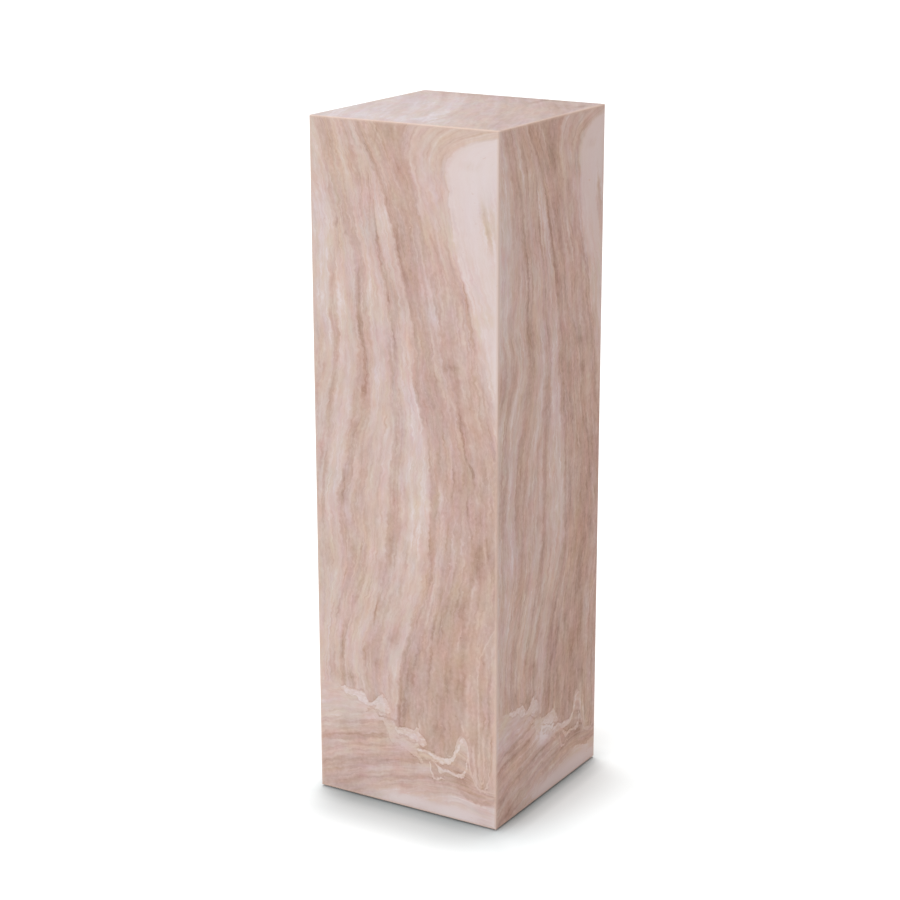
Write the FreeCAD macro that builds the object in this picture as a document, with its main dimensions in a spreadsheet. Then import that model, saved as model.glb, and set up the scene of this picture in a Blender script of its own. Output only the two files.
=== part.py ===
"""Square display pedestal clad in travertine, 300 x 300 x 1000 mm.

Five stone slabs, mitred where they meet so that no slab edge shows, are bonded to a
screwed plywood carcass. Two diaphragms keep the carcass square, and a removable base
board, set up inside the slabs, carries four rubber feet that lift the stone just clear
of the floor.

Frame: +Z up, the floor at Z = 0 below the centre of the pedestal, front face towards -Y.
All lengths are in millimetres.
"""

import FreeCAD
import Part
import Sketcher
import math
import os
import re

# The driving sizes. Each one becomes a named cell of the sizes sheet.
SIZES = {
    # Outside of the finished pedestal
    "pedestal_width": 300.0,
    "pedestal_depth": 300.0,
    "pedestal_height": 1000.0,
    "floor_gap": 2.0,
    # Stone cladding
    "slab_thickness": 10.0,
    "arris_radius": 2.0,
    # Plywood carcass
    "side_board_thickness": 15.0,
    "top_board_thickness": 15.0,
    "base_board_thickness": 15.0,
    "base_board_clearance": 0.3,
    "board_setback": 3.0,
    "diaphragm_thickness": 15.0,
    "diaphragm_hole_diameter": 80.0,
    "batten_width": 20.0,
    "batten_height": 20.0,
    # Countersunk wood screws
    "screw_diameter": 4.0,
    "screw_head_diameter": 8.0,
    "screw_head_height": 2.2,
    "screw_point_length": 5.0,
    "screw_point_cover": 5.0,
    "screw_clearance": 0.05,
    "carcass_screw_length": 45.0,
    # Cross recess in every screw head
    "recess_length": 4.2,
    "recess_width": 0.9,
    "recess_depth": 1.1,
    # Places of the screws
    "side_screw_end_distance": 60.0,
    "diaphragm_screw_spacing": 160.0,
    "top_screw_spacing": 120.0,
    "base_screw_spacing": 140.0,
    "batten_screw_spacing": 60.0,
    # Rubber feet with their steel washers and pan-head screws
    "foot_inset": 50.0,
    "foot_diameter": 32.0,
    "foot_taper": 1.5,
    "foot_edge_chamfer": 0.6,
    "washer_diameter": 13.0,
    "washer_thickness": 0.8,
    "washer_side_clearance": 0.5,
    "foot_screw_length": 12.0,
    "foot_screw_head_height": 1.6,
    "foot_screw_floor_clearance": 0.8,
    # How far a cutting profile runs past the piece that it cuts
    "cut_overrun": 4.0,
}

SIDE_SCREW_ROWS = 5
DIAPHRAGMS = 2

# Sizes and places that follow from the driving ones. Each one becomes a cell of the derived sheet.
DERIVED = {
    "half_width": "pedestal_width / 2",
    "half_depth": "pedestal_depth / 2",
    # Stone, measured from the lower edge of the wall slabs
    "slab_height": "pedestal_height - floor_gap",
    "arris_ease": "arris_radius * (1 - cos(45))",
    # Outside and inside of the plywood carcass
    "core_width": "pedestal_width - 2 * slab_thickness",
    "core_depth": "pedestal_depth - 2 * slab_thickness",
    "core_top": "pedestal_height - slab_thickness",
    "inner_width": "core_width - 2 * side_board_thickness",
    "inner_depth": "core_depth - 2 * side_board_thickness",
    # Levels of the boards
    "board_bottom": "floor_gap + board_setback",
    "board_top": "core_top - top_board_thickness",
    "board_height": "board_top - board_bottom",
    "base_board_top": "board_bottom + base_board_thickness",
    "batten_middle": "base_board_top + batten_height / 2",
    "diaphragm_pitch": f"(board_height - diaphragm_thickness) / {DIAPHRAGMS + 1}",
    "lowest_diaphragm": "board_bottom + diaphragm_pitch",
    # Screws that stop short of the far side of the last piece that they enter
    "base_screw_length": "base_board_thickness + batten_height - screw_point_cover",
    "batten_screw_length": "batten_width + side_board_thickness - screw_point_cover",
    # Feet
    "foot_spacing_x": "pedestal_width - 2 * foot_inset",
    "foot_spacing_y": "pedestal_depth - 2 * foot_inset",
    "foot_tread_diameter": "foot_diameter - 2 * foot_taper",
    "foot_recess_diameter": "washer_diameter + 2 * washer_side_clearance",
    "washer_bottom": "foot_screw_floor_clearance + foot_screw_head_height",
    "foot_recess_depth": "washer_bottom + washer_thickness",
}


def formula(text):
    """Points every named size in a formula at its cell."""
    for sheet_name, names in (("sizes", SIZES), ("derived", DERIVED)):
        for name in names:
            text = re.sub(rf"\b{name}\b", f"{sheet_name}.{name}", text)
    return text


def new_sheet(name, cells):
    sheet = doc.addObject("Spreadsheet::Sheet", name)
    for row, (alias, content) in enumerate(cells.items(), start=1):
        sheet.set(f"A{row}", alias)
        sheet.set(f"B{row}", content)
        sheet.setAlias(f"B{row}", alias)
    return sheet


doc = FreeCAD.newDocument("stone_pedestal")
new_sheet("sizes", {name: str(value) for name, value in SIZES.items()})
derived = new_sheet("derived", {name: f"={formula(text)}" for name, text in DERIVED.items()})
doc.recompute()

nodes = []


def measure(text):
    """The present value of a formula."""
    value = derived.evalExpression(formula(text))
    return float(getattr(value, "Value", value))


def bind(thing, name, text):
    """Ties one property of an object to a formula."""
    thing.setExpression(name, formula(text))


def place(thing, x, y, z, turn=0):
    """Puts an object at a place given by formulas, turned about the vertical in degrees."""
    upright = FreeCAD.Vector(0, 0, 1)
    thing.Placement = FreeCAD.Placement(FreeCAD.Vector(), FreeCAD.Rotation(upright, turn))
    for axis, text in zip("xyz", (x, y, z)):
        bind(thing, f"Placement.Base.{axis}", text)


def new_body(name):
    body = doc.addObject("PartDesign::Body", name)
    body.Label = name
    return body


def origin_part(body, role):
    """One of a body's own origin planes or axes, by its role."""
    return next(part for part in body.Origin.OriginFeatures if part.Role == role)


def new_sketch(body, name, plane, offset=("0", "0", "0"), turn=0):
    """A sketch on a body's origin plane, moved by formulas along its own axes and turned in degrees."""
    sketch = body.newObject("Sketcher::SketchObject", f"{body.Name}_{name}")
    sketch.AttachmentSupport = [(origin_part(body, plane), "")]
    sketch.MapMode = "FlatFace"
    normal = FreeCAD.Vector(0, 0, 1)
    sketch.AttachmentOffset = FreeCAD.Placement(FreeCAD.Vector(), FreeCAD.Rotation(normal, turn))
    for axis, text in zip("xyz", offset):
        bind(sketch, f"AttachmentOffset.Base.{axis}", text)
    return sketch


def draw(sketch, corners, rounds=()):
    """Draws a closed outline through corners given as pairs of formulas.

    rounds maps the number of a corner to the centre and the radius of the arc that
    leads from it to the next corner; every other side is straight.
    """
    rounds = dict(rounds)
    points = [FreeCAD.Vector(measure(x), measure(y), 0) for x, y in corners]
    first = sketch.GeometryCount
    for i, start in enumerate(points):
        end = points[(i + 1) % len(points)]
        if i in rounds:
            (centre_x, centre_y), radius = rounds[i]
            centre = FreeCAD.Vector(measure(centre_x), measure(centre_y), 0)
            opening = math.atan2(start.y - centre.y, start.x - centre.x)
            closing = math.atan2(end.y - centre.y, end.x - centre.x)
            # A sketch keeps its arcs anticlockwise, so some are drawn from end to start
            flipped = (closing - opening) % math.tau > math.pi
            if flipped:
                opening, closing = closing, opening
            circle = Part.Circle(centre, FreeCAD.Vector(0, 0, 1), measure(radius))
            side = sketch.addGeometry(Part.ArcOfCircle(circle, opening, closing))
        else:
            side = sketch.addGeometry(Part.LineSegment(start, end))
            flipped = False
        near, far = (2, 1) if flipped else (1, 2)
        if i:
            sketch.addConstraint(Sketcher.Constraint("Coincident", last_side, last_end, side, near))
        else:
            first_end = near
        for kind, value, text in zip(("DistanceX", "DistanceY"), (start.x, start.y), corners[i]):
            number = sketch.addConstraint(Sketcher.Constraint(kind, -1, 1, side, near, value))
            title = f"{kind[-1].lower()}_{side}"
            sketch.renameConstraint(number, title)
            bind(sketch, f"Constraints.{title}", text)
        if i in rounds:
            size = measure(radius)
            number = sketch.addConstraint(Sketcher.Constraint("Radius", side, size))
            sketch.renameConstraint(number, f"radius_{side}")
            bind(sketch, f"Constraints.radius_{side}", radius)
        last_side, last_end = side, far
    sketch.addConstraint(Sketcher.Constraint("Coincident", last_side, last_end, first, first_end))


def pad(body, sketch, length, symmetric=False):
    feature = body.newObject("PartDesign::Pad", f"{body.Name}_pad")
    feature.Profile = sketch
    feature.Midplane = symmetric
    bind(feature, "Length", length)
    return feature


def pocket_through(body, sketch, name):
    """Cuts a sketch right through a body, to both sides of the sketch's plane."""
    feature = body.newObject("PartDesign::Pocket", f"{body.Name}_{name}")
    feature.Profile = sketch
    feature.Type = "ThroughAll"
    feature.Midplane = True
    return feature


def turned(body, sketch, name="turning"):
    """Revolves a sketch about its own vertical axis."""
    feature = body.newObject("PartDesign::Revolution", f"{body.Name}_{name}")
    feature.Profile = sketch
    feature.ReferenceAxis = (sketch, ["V_Axis"])
    feature.Angle = 360
    return feature


def repeat(body, features, first, second):
    """Repeats features over a grid. first and second are (axis, copies, whole length)."""
    grid = body.newObject("PartDesign::LinearPattern", f"{body.Name}_grid")
    grid.Originals = features
    for suffix, (axis, copies, length) in zip(("", "2"), (first, second)):
        setattr(grid, f"Direction{suffix}", (origin_part(body, axis), [""]))
        setattr(grid, f"Occurrences{suffix}", copies)
        bind(grid, f"Length{suffix}", length)
    body.Tip = grid


def mirror_whole(body, plane):
    """Mirrors all of a body in one of its origin planes, and keeps both halves."""
    twin = body.newObject("PartDesign::Mirrored", f"{body.Name}_twin")
    twin.Originals = [body.Tip]
    twin.MirrorPlane = (origin_part(body, plane), [""])
    twin.TransformMode = "Whole shape"
    body.Tip = twin


# Stone cladding


def side_slab(name, half_face, x, y, turn):
    """A wall slab, mitred at both upright edges and at its top.

    Its outer face is the body's XZ plane, and its stone lies towards +Y.
    """
    body = new_body(name)
    plan = new_sketch(body, "plan", "XY_Plane")
    corners = [
        (f"-({half_face} - arris_radius)", "0"),
        (f"{half_face} - arris_radius", "0"),
        (f"{half_face} - arris_ease", "arris_ease"),
        (f"{half_face} - slab_thickness", "slab_thickness"),
        (f"-({half_face} - slab_thickness)", "slab_thickness"),
        (f"-({half_face} - arris_ease)", "arris_ease"),
    ]
    right_round = ((f"{half_face} - arris_radius", "arris_radius"), "arris_radius")
    left_round = ((f"-({half_face} - arris_radius)", "arris_radius"), "arris_radius")
    draw(plan, corners, {1: right_round, 5: left_round})
    pad(body, plan, "slab_height")

    top_mitre = new_sketch(body, "top_mitre", "YZ_Plane")
    corners = [
        ("0", "slab_height - arris_radius"),
        ("arris_ease", "slab_height - arris_ease"),
        ("slab_thickness + cut_overrun", "slab_height - slab_thickness - cut_overrun"),
        ("slab_thickness + cut_overrun", "slab_height + cut_overrun"),
        ("-cut_overrun", "slab_height + cut_overrun"),
        ("-cut_overrun", "slab_height - arris_radius"),
    ]
    upper_round = (("arris_radius", "slab_height - arris_radius"), "arris_radius")
    draw(top_mitre, corners, {0: upper_round})
    pocket_through(body, top_mitre, "top_cut")

    lower_edge = new_sketch(body, "lower_edge", "YZ_Plane")
    corners = [
        ("0", "arris_radius"),
        ("arris_radius", "0"),
        ("arris_radius", "-cut_overrun"),
        ("-cut_overrun", "-cut_overrun"),
        ("-cut_overrun", "arris_radius"),
    ]
    lower_round = (("arris_radius", "arris_radius"), "arris_radius")
    draw(lower_edge, corners, {0: lower_round})
    pocket_through(body, lower_edge, "lower_cut")

    place(body, x, y, "floor_gap", turn)
    nodes.append(body)


def top_slab(name):
    """The top slab, mitred all round. Its upper face is the body's XY plane."""
    body = new_body(name)
    profile = new_sketch(body, "profile", "XZ_Plane")
    corners = [
        ("half_width - arris_radius", "0"),
        ("half_width - arris_ease", "-arris_ease"),
        ("half_width - slab_thickness", "-slab_thickness"),
        ("-(half_width - slab_thickness)", "-slab_thickness"),
        ("-(half_width - arris_ease)", "-arris_ease"),
        ("-(half_width - arris_radius)", "0"),
    ]
    right_round = (("half_width - arris_radius", "-arris_radius"), "arris_radius")
    left_round = (("-(half_width - arris_radius)", "-arris_radius"), "arris_radius")
    draw(profile, corners, {0: right_round, 4: left_round})
    pad(body, profile, "pedestal_depth", symmetric=True)

    for end, sign in (("front", "-"), ("back", "")):
        mitre = new_sketch(body, f"{end}_mitre", "YZ_Plane")
        corners = [
            (f"{sign}(half_depth - arris_radius)", "0"),
            (f"{sign}(half_depth - arris_ease)", "-arris_ease"),
            (f"{sign}(half_depth - slab_thickness - cut_overrun)", "-slab_thickness - cut_overrun"),
            (f"{sign}(half_depth + cut_overrun)", "-slab_thickness - cut_overrun"),
            (f"{sign}(half_depth + cut_overrun)", "cut_overrun"),
            (f"{sign}(half_depth - arris_radius)", "cut_overrun"),
        ]
        edge_round = ((f"{sign}(half_depth - arris_radius)", "-arris_radius"), "arris_radius")
        draw(mitre, corners, {0: edge_round})
        pocket_through(body, mitre, f"{end}_cut")

    place(body, "0", "0", "pedestal_height")
    nodes.append(body)


# Screws, and the holes drilled for them


def countersunk_profile(sketch, length, growth):
    """Half of a countersunk screw: head at the origin, point at +V, grown sideways by growth."""
    corners = [
        ("0", "0"),
        (f"screw_head_diameter / 2 + {growth}", "0"),
        (f"screw_diameter / 2 + {growth}", "screw_head_height"),
        (f"screw_diameter / 2 + {growth}", f"{length} - screw_point_length"),
        ("0", f"{length} + {growth}"),
    ]
    draw(sketch, corners)


def cross_recess(body, plane, offset, turn):
    """Two crossed slots in a head whose face lies on the sketch's horizontal axis."""
    cuts = []
    for slot, width in (("long", "recess_length"), ("cross", "recess_width")):
        depth = "recess_length" if slot == "cross" else "recess_width"
        sketch = new_sketch(body, f"{slot}_slot", plane, offset, turn)
        corners = [
            (f"-{width} / 2", "-cut_overrun"),
            (f"{width} / 2", "-cut_overrun"),
            (f"{width} / 2", "recess_depth"),
            (f"-{width} / 2", "recess_depth"),
        ]
        draw(sketch, corners)
        cut = body.newObject("PartDesign::Pocket", f"{body.Name}_{slot}_cut")
        cut.Profile = sketch
        cut.Midplane = True
        bind(cut, "Length", depth)
        cuts.append(cut)
    return cuts


def screw_group(name, plane, offset, turn, length, first, second, mirror=None):
    """A group of equal countersunk screws, and the group of holes that they are driven into.

    The first screw's head lies at offset on the plane, and turn sets the way it points.
    Returns the holes.
    """
    made = []
    for label, growth in ((name, "0"), (f"{name}_holes", "screw_clearance")):
        body = new_body(label)
        profile = new_sketch(body, "profile", plane, offset, turn)
        countersunk_profile(profile, length, growth)
        features = [turned(body, profile)]
        if label == name:
            features += cross_recess(body, plane, offset, turn)
        repeat(body, features, first, second)
        if mirror:
            mirror_whole(body, mirror)
        made.append(body)
    screws, holes = made
    nodes.append(screws)
    return holes


def drilled(name, body, holes):
    """A board with the holes of several screw groups cut out of it."""
    tool = doc.addObject("Part::Compound", f"{name}_drilling")
    tool.Links = holes
    cut = doc.addObject("Part::Cut", name)
    cut.Base = body
    cut.Tool = tool
    cut.Label = name
    nodes.append(cut)


def board(name, length, depth, height, x, y, z):
    """A plain board whose lowest corner lies at x, y, z."""
    body = new_body(f"{name}_blank")
    outline = new_sketch(body, "outline", "XY_Plane")
    draw(outline, [("0", "0"), (length, "0"), (length, depth), ("0", depth)])
    pad(body, outline, height)
    place(body, x, y, z)
    return body


# Rubber feet


def rubber_foot(name, x, y):
    """A tapered rubber disc with a recess for the washer and the screw head."""
    body = new_body(name)
    profile = new_sketch(body, "profile", "XZ_Plane")
    corners = [
        ("screw_diameter / 2 + screw_clearance", "foot_recess_depth"),
        ("foot_recess_diameter / 2", "foot_recess_depth"),
        ("foot_recess_diameter / 2", "0"),
        ("foot_tread_diameter / 2 - foot_edge_chamfer", "0"),
        ("foot_tread_diameter / 2", "foot_edge_chamfer"),
        ("foot_diameter / 2", "board_bottom"),
        ("screw_diameter / 2 + screw_clearance", "board_bottom"),
    ]
    draw(profile, corners)
    turned(body, profile)
    place(body, x, y, "0")
    nodes.append(body)


def foot_grid():
    """The two directions in which whatever belongs to a foot is repeated."""
    return ("X_Axis", 2, "foot_spacing_x"), ("Y_Axis", 2, "foot_spacing_y")


def foot_washers(name):
    body = new_body(name)
    offset = ("-foot_spacing_x / 2", "0", "foot_spacing_y / 2")
    profile = new_sketch(body, "profile", "XZ_Plane", offset)
    corners = [
        ("screw_diameter / 2 + screw_clearance", "washer_bottom"),
        ("washer_diameter / 2", "washer_bottom"),
        ("washer_diameter / 2", "foot_recess_depth"),
        ("screw_diameter / 2 + screw_clearance", "foot_recess_depth"),
    ]
    draw(profile, corners)
    repeat(body, [turned(body, profile)], *foot_grid())
    nodes.append(body)


def foot_screws(name):
    """Pan-head screws that hold the feet to the base board. Returns their holes."""
    made = []
    for label, growth in ((name, "0"), (f"{name}_holes", "screw_clearance")):
        body = new_body(label)
        head_face = ("-foot_spacing_x / 2", "washer_bottom - foot_screw_head_height", "foot_spacing_y / 2")
        profile = new_sketch(body, "profile", "XZ_Plane", head_face)
        corners = [
            ("0", "0"),
            (f"screw_head_diameter / 2 + {growth}", "0"),
            (f"screw_head_diameter / 2 + {growth}", "foot_screw_head_height"),
            (f"screw_diameter / 2 + {growth}", "foot_screw_head_height"),
            (
                f"screw_diameter / 2 + {growth}",
                "foot_screw_head_height + foot_screw_length - screw_point_length",
            ),
            ("0", f"foot_screw_head_height + foot_screw_length + {growth}"),
        ]
        draw(profile, corners)
        features = [turned(body, profile)]
        if label == name:
            features += cross_recess(body, "XZ_Plane", head_face, 0)
        repeat(body, features, *foot_grid())
        made.append(body)
    screws, holes = made
    nodes.append(screws)
    return holes


side_slab("front_slab", "half_width", "0", "-half_depth", 0)
side_slab("right_slab", "half_depth", "half_width", "0", 90)
side_slab("back_slab", "half_width", "0", "half_depth", 180)
side_slab("left_slab", "half_depth", "-half_width", "0", 270)
top_slab("top_slab")

# Screws through the front and back boards into the ends of the left and right boards
side_holes = screw_group(
    "side_board_screws",
    "XY_Plane",
    (
        "-(core_width - side_board_thickness) / 2",
        "-core_depth / 2",
        "board_bottom + side_screw_end_distance",
    ),
    0,
    "carcass_screw_length",
    ("X_Axis", 2, "core_width - side_board_thickness"),
    ("Z_Axis", SIDE_SCREW_ROWS, "board_height - 2 * side_screw_end_distance"),
    mirror="XZ_Plane",
)
# Screws through the front and back boards into the diaphragms
diaphragm_holes = screw_group(
    "diaphragm_screws",
    "XY_Plane",
    (
        "-diaphragm_screw_spacing / 2",
        "-core_depth / 2",
        "lowest_diaphragm + diaphragm_thickness / 2",
    ),
    0,
    "carcass_screw_length",
    ("X_Axis", 2, "diaphragm_screw_spacing"),
    ("Z_Axis", DIAPHRAGMS, f"{DIAPHRAGMS - 1} * diaphragm_pitch"),
    mirror="XZ_Plane",
)
# Screws down through the top board, first into the left and right boards
top_side_holes = screw_group(
    "top_board_screws_left_right",
    "XZ_Plane",
    ("-(core_width - side_board_thickness) / 2", "core_top", "top_screw_spacing / 2"),
    180,
    "carcass_screw_length",
    ("X_Axis", 2, "core_width - side_board_thickness"),
    ("Y_Axis", 2, "top_screw_spacing"),
)
top_front_holes = screw_group(
    "top_board_screws_front_back",
    "XZ_Plane",
    ("-top_screw_spacing / 2", "core_top", "(core_depth - side_board_thickness) / 2"),
    180,
    "carcass_screw_length",
    ("X_Axis", 2, "top_screw_spacing"),
    ("Y_Axis", 2, "core_depth - side_board_thickness"),
)
# Screws up through the base board into the battens
base_side_holes = screw_group(
    "base_board_screws_left_right",
    "XZ_Plane",
    ("-(inner_width - batten_width) / 2", "board_bottom", "base_screw_spacing / 2"),
    0,
    "base_screw_length",
    ("X_Axis", 2, "inner_width - batten_width"),
    ("Y_Axis", 2, "base_screw_spacing"),
)
base_front_holes = screw_group(
    "base_board_screws_front_back",
    "XZ_Plane",
    ("-base_screw_spacing / 2", "board_bottom", "(inner_depth - batten_width) / 2"),
    0,
    "base_screw_length",
    ("X_Axis", 2, "base_screw_spacing"),
    ("Y_Axis", 2, "inner_depth - batten_width"),
)
# Screws outwards through the battens into the side boards
batten_side_holes = screw_group(
    "batten_screws_left_right",
    "XY_Plane",
    ("-(inner_width / 2 - batten_width)", "-batten_screw_spacing / 2", "batten_middle"),
    90,
    "batten_screw_length",
    ("Y_Axis", 2, "batten_screw_spacing"),
    ("Z_Axis", 1, "batten_height"),
    mirror="YZ_Plane",
)
batten_front_holes = screw_group(
    "batten_screws_front_back",
    "XY_Plane",
    ("-batten_screw_spacing / 2", "-(inner_depth / 2 - batten_width)", "batten_middle"),
    180,
    "batten_screw_length",
    ("X_Axis", 2, "batten_screw_spacing"),
    ("Z_Axis", 1, "batten_height"),
    mirror="XZ_Plane",
)
foot_holes = foot_screws("foot_screws")

for name, y in (("front_board", "-core_depth / 2"), ("back_board", "inner_depth / 2")):
    blank = board(
        name, "core_width", "side_board_thickness", "board_height", "-core_width / 2", y, "board_bottom"
    )
    drilled(name, blank, [side_holes, diaphragm_holes, top_front_holes, batten_front_holes])

for name, x in (("left_board", "-core_width / 2"), ("right_board", "inner_width / 2")):
    blank = board(
        name, "side_board_thickness", "inner_depth", "board_height", x, "-inner_depth / 2", "board_bottom"
    )
    drilled(name, blank, [side_holes, top_side_holes, batten_side_holes])

blank = board(
    "top_board",
    "core_width",
    "core_depth",
    "top_board_thickness",
    "-core_width / 2",
    "-core_depth / 2",
    "board_top",
)
drilled("top_board", blank, [top_side_holes, top_front_holes])

blank = board(
    "base_board",
    "inner_width - 2 * base_board_clearance",
    "inner_depth - 2 * base_board_clearance",
    "base_board_thickness",
    "-inner_width / 2 + base_board_clearance",
    "-inner_depth / 2 + base_board_clearance",
    "board_bottom",
)
drilled("base_board", blank, [base_side_holes, base_front_holes, foot_holes])

for name, y in (("front_batten", "-inner_depth / 2"), ("back_batten", "inner_depth / 2 - batten_width")):
    blank = board(
        name, "inner_width", "batten_width", "batten_height", "-inner_width / 2", y, "base_board_top"
    )
    drilled(name, blank, [base_front_holes, batten_front_holes])

for name, x in (("left_batten", "-inner_width / 2"), ("right_batten", "inner_width / 2 - batten_width")):
    blank = board(
        name,
        "batten_width",
        "inner_depth - 2 * batten_width",
        "batten_height",
        x,
        "-(inner_depth / 2 - batten_width)",
        "base_board_top",
    )
    drilled(name, blank, [base_side_holes, batten_side_holes])

for steps, name in enumerate(("lower_diaphragm", "upper_diaphragm")):
    blank = board(
        name,
        "inner_width",
        "inner_depth",
        "diaphragm_thickness",
        "-inner_width / 2",
        "-inner_depth / 2",
        f"lowest_diaphragm + {steps} * diaphragm_pitch",
    )
    middle = new_sketch(blank, "middle", "XY_Plane", ("inner_width / 2", "inner_depth / 2", "0"))
    upright = FreeCAD.Vector(0, 0, 1)
    middle.addGeometry(Part.Circle(FreeCAD.Vector(), upright, measure("diaphragm_hole_diameter / 2")))
    middle.addConstraint(Sketcher.Constraint("Coincident", 0, 3, -1, 1))
    number = middle.addConstraint(Sketcher.Constraint("Diameter", 0, measure("diaphragm_hole_diameter")))
    middle.renameConstraint(number, "hole")
    bind(middle, "Constraints.hole", "diaphragm_hole_diameter")
    pocket_through(blank, middle, "hole")
    drilled(name, blank, [diaphragm_holes])

for end, y in (("front", "-foot_spacing_y / 2"), ("back", "foot_spacing_y / 2")):
    for side, x in (("left", "-foot_spacing_x / 2"), ("right", "foot_spacing_x / 2")):
        rubber_foot(f"foot_{end}_{side}", x, y)
foot_washers("foot_washers")

doc.recompute()

# Every object has to be sound before any file is written
for thing in doc.Objects:
    if "Invalid" in thing.State or "Error" in thing.State:
        raise RuntimeError(f"{thing.Label} did not build: {thing.State}")
for node in nodes:
    if node.Shape.isNull() or not node.Shape.isValid() or not node.Shape.Solids:
        raise RuntimeError(f"{node.Label} is not a sound solid")

os.makedirs("parts", exist_ok=True)
for node in nodes:
    node.Shape.exportStep(f"parts/{node.Label}.step")
    box = node.Shape.BoundBox
    print(
        f"{node.Label}: {len(node.Shape.Solids)} solid(s), {node.Shape.Volume / 1000:.2f} cm3, "
        f"x {box.XMin:.2f} {box.XMax:.2f}  y {box.YMin:.2f} {box.YMax:.2f}  z {box.ZMin:.2f} {box.ZMax:.2f}"
    )
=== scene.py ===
"""Studio scene of a square travertine pedestal.

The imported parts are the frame: they are never moved. This script gives each of them its finish,
sets up the floor, the lamps and the camera.
The frame, the floor and the camera are in metres. The materials work in millimetres.
"""

import math

import bpy
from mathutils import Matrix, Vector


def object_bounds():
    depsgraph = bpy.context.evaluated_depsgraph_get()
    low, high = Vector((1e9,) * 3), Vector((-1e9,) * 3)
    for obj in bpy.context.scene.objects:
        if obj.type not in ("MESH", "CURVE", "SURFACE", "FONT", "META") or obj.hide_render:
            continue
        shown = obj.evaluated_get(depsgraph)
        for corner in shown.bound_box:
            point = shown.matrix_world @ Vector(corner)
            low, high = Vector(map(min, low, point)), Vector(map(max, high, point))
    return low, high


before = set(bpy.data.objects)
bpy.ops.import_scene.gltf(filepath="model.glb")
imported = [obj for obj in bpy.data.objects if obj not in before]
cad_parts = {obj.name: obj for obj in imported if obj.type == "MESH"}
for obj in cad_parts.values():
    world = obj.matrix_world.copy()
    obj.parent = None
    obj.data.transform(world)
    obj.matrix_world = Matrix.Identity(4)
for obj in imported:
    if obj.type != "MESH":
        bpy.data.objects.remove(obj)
cad_low, cad_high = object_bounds()
bpy.ops.object.select_all(action="DESELECT")

MM_IN_METRE = 1000

pedestal_width = cad_high.x - cad_low.x
pedestal_depth = cad_high.y - cad_low.y


# Camera

CAMERA_PLACE = (1.6146, -2.6992, 1.4378)
CAMERA_TILT = (90 - 16.493, 0.097, 31.112)
CAMERA_LENS = 90.52
SENSOR_WIDTH = 36.0


def place_camera():
    bpy.ops.object.camera_add(location=CAMERA_PLACE, rotation=[math.radians(a) for a in CAMERA_TILT])
    camera = bpy.context.object
    camera.name = "camera"
    camera.data.sensor_width = SENSOR_WIDTH
    camera.data.lens = CAMERA_LENS
    camera.data.clip_end = 100
    bpy.context.scene.camera = camera


place_camera()


# Nodes


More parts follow.
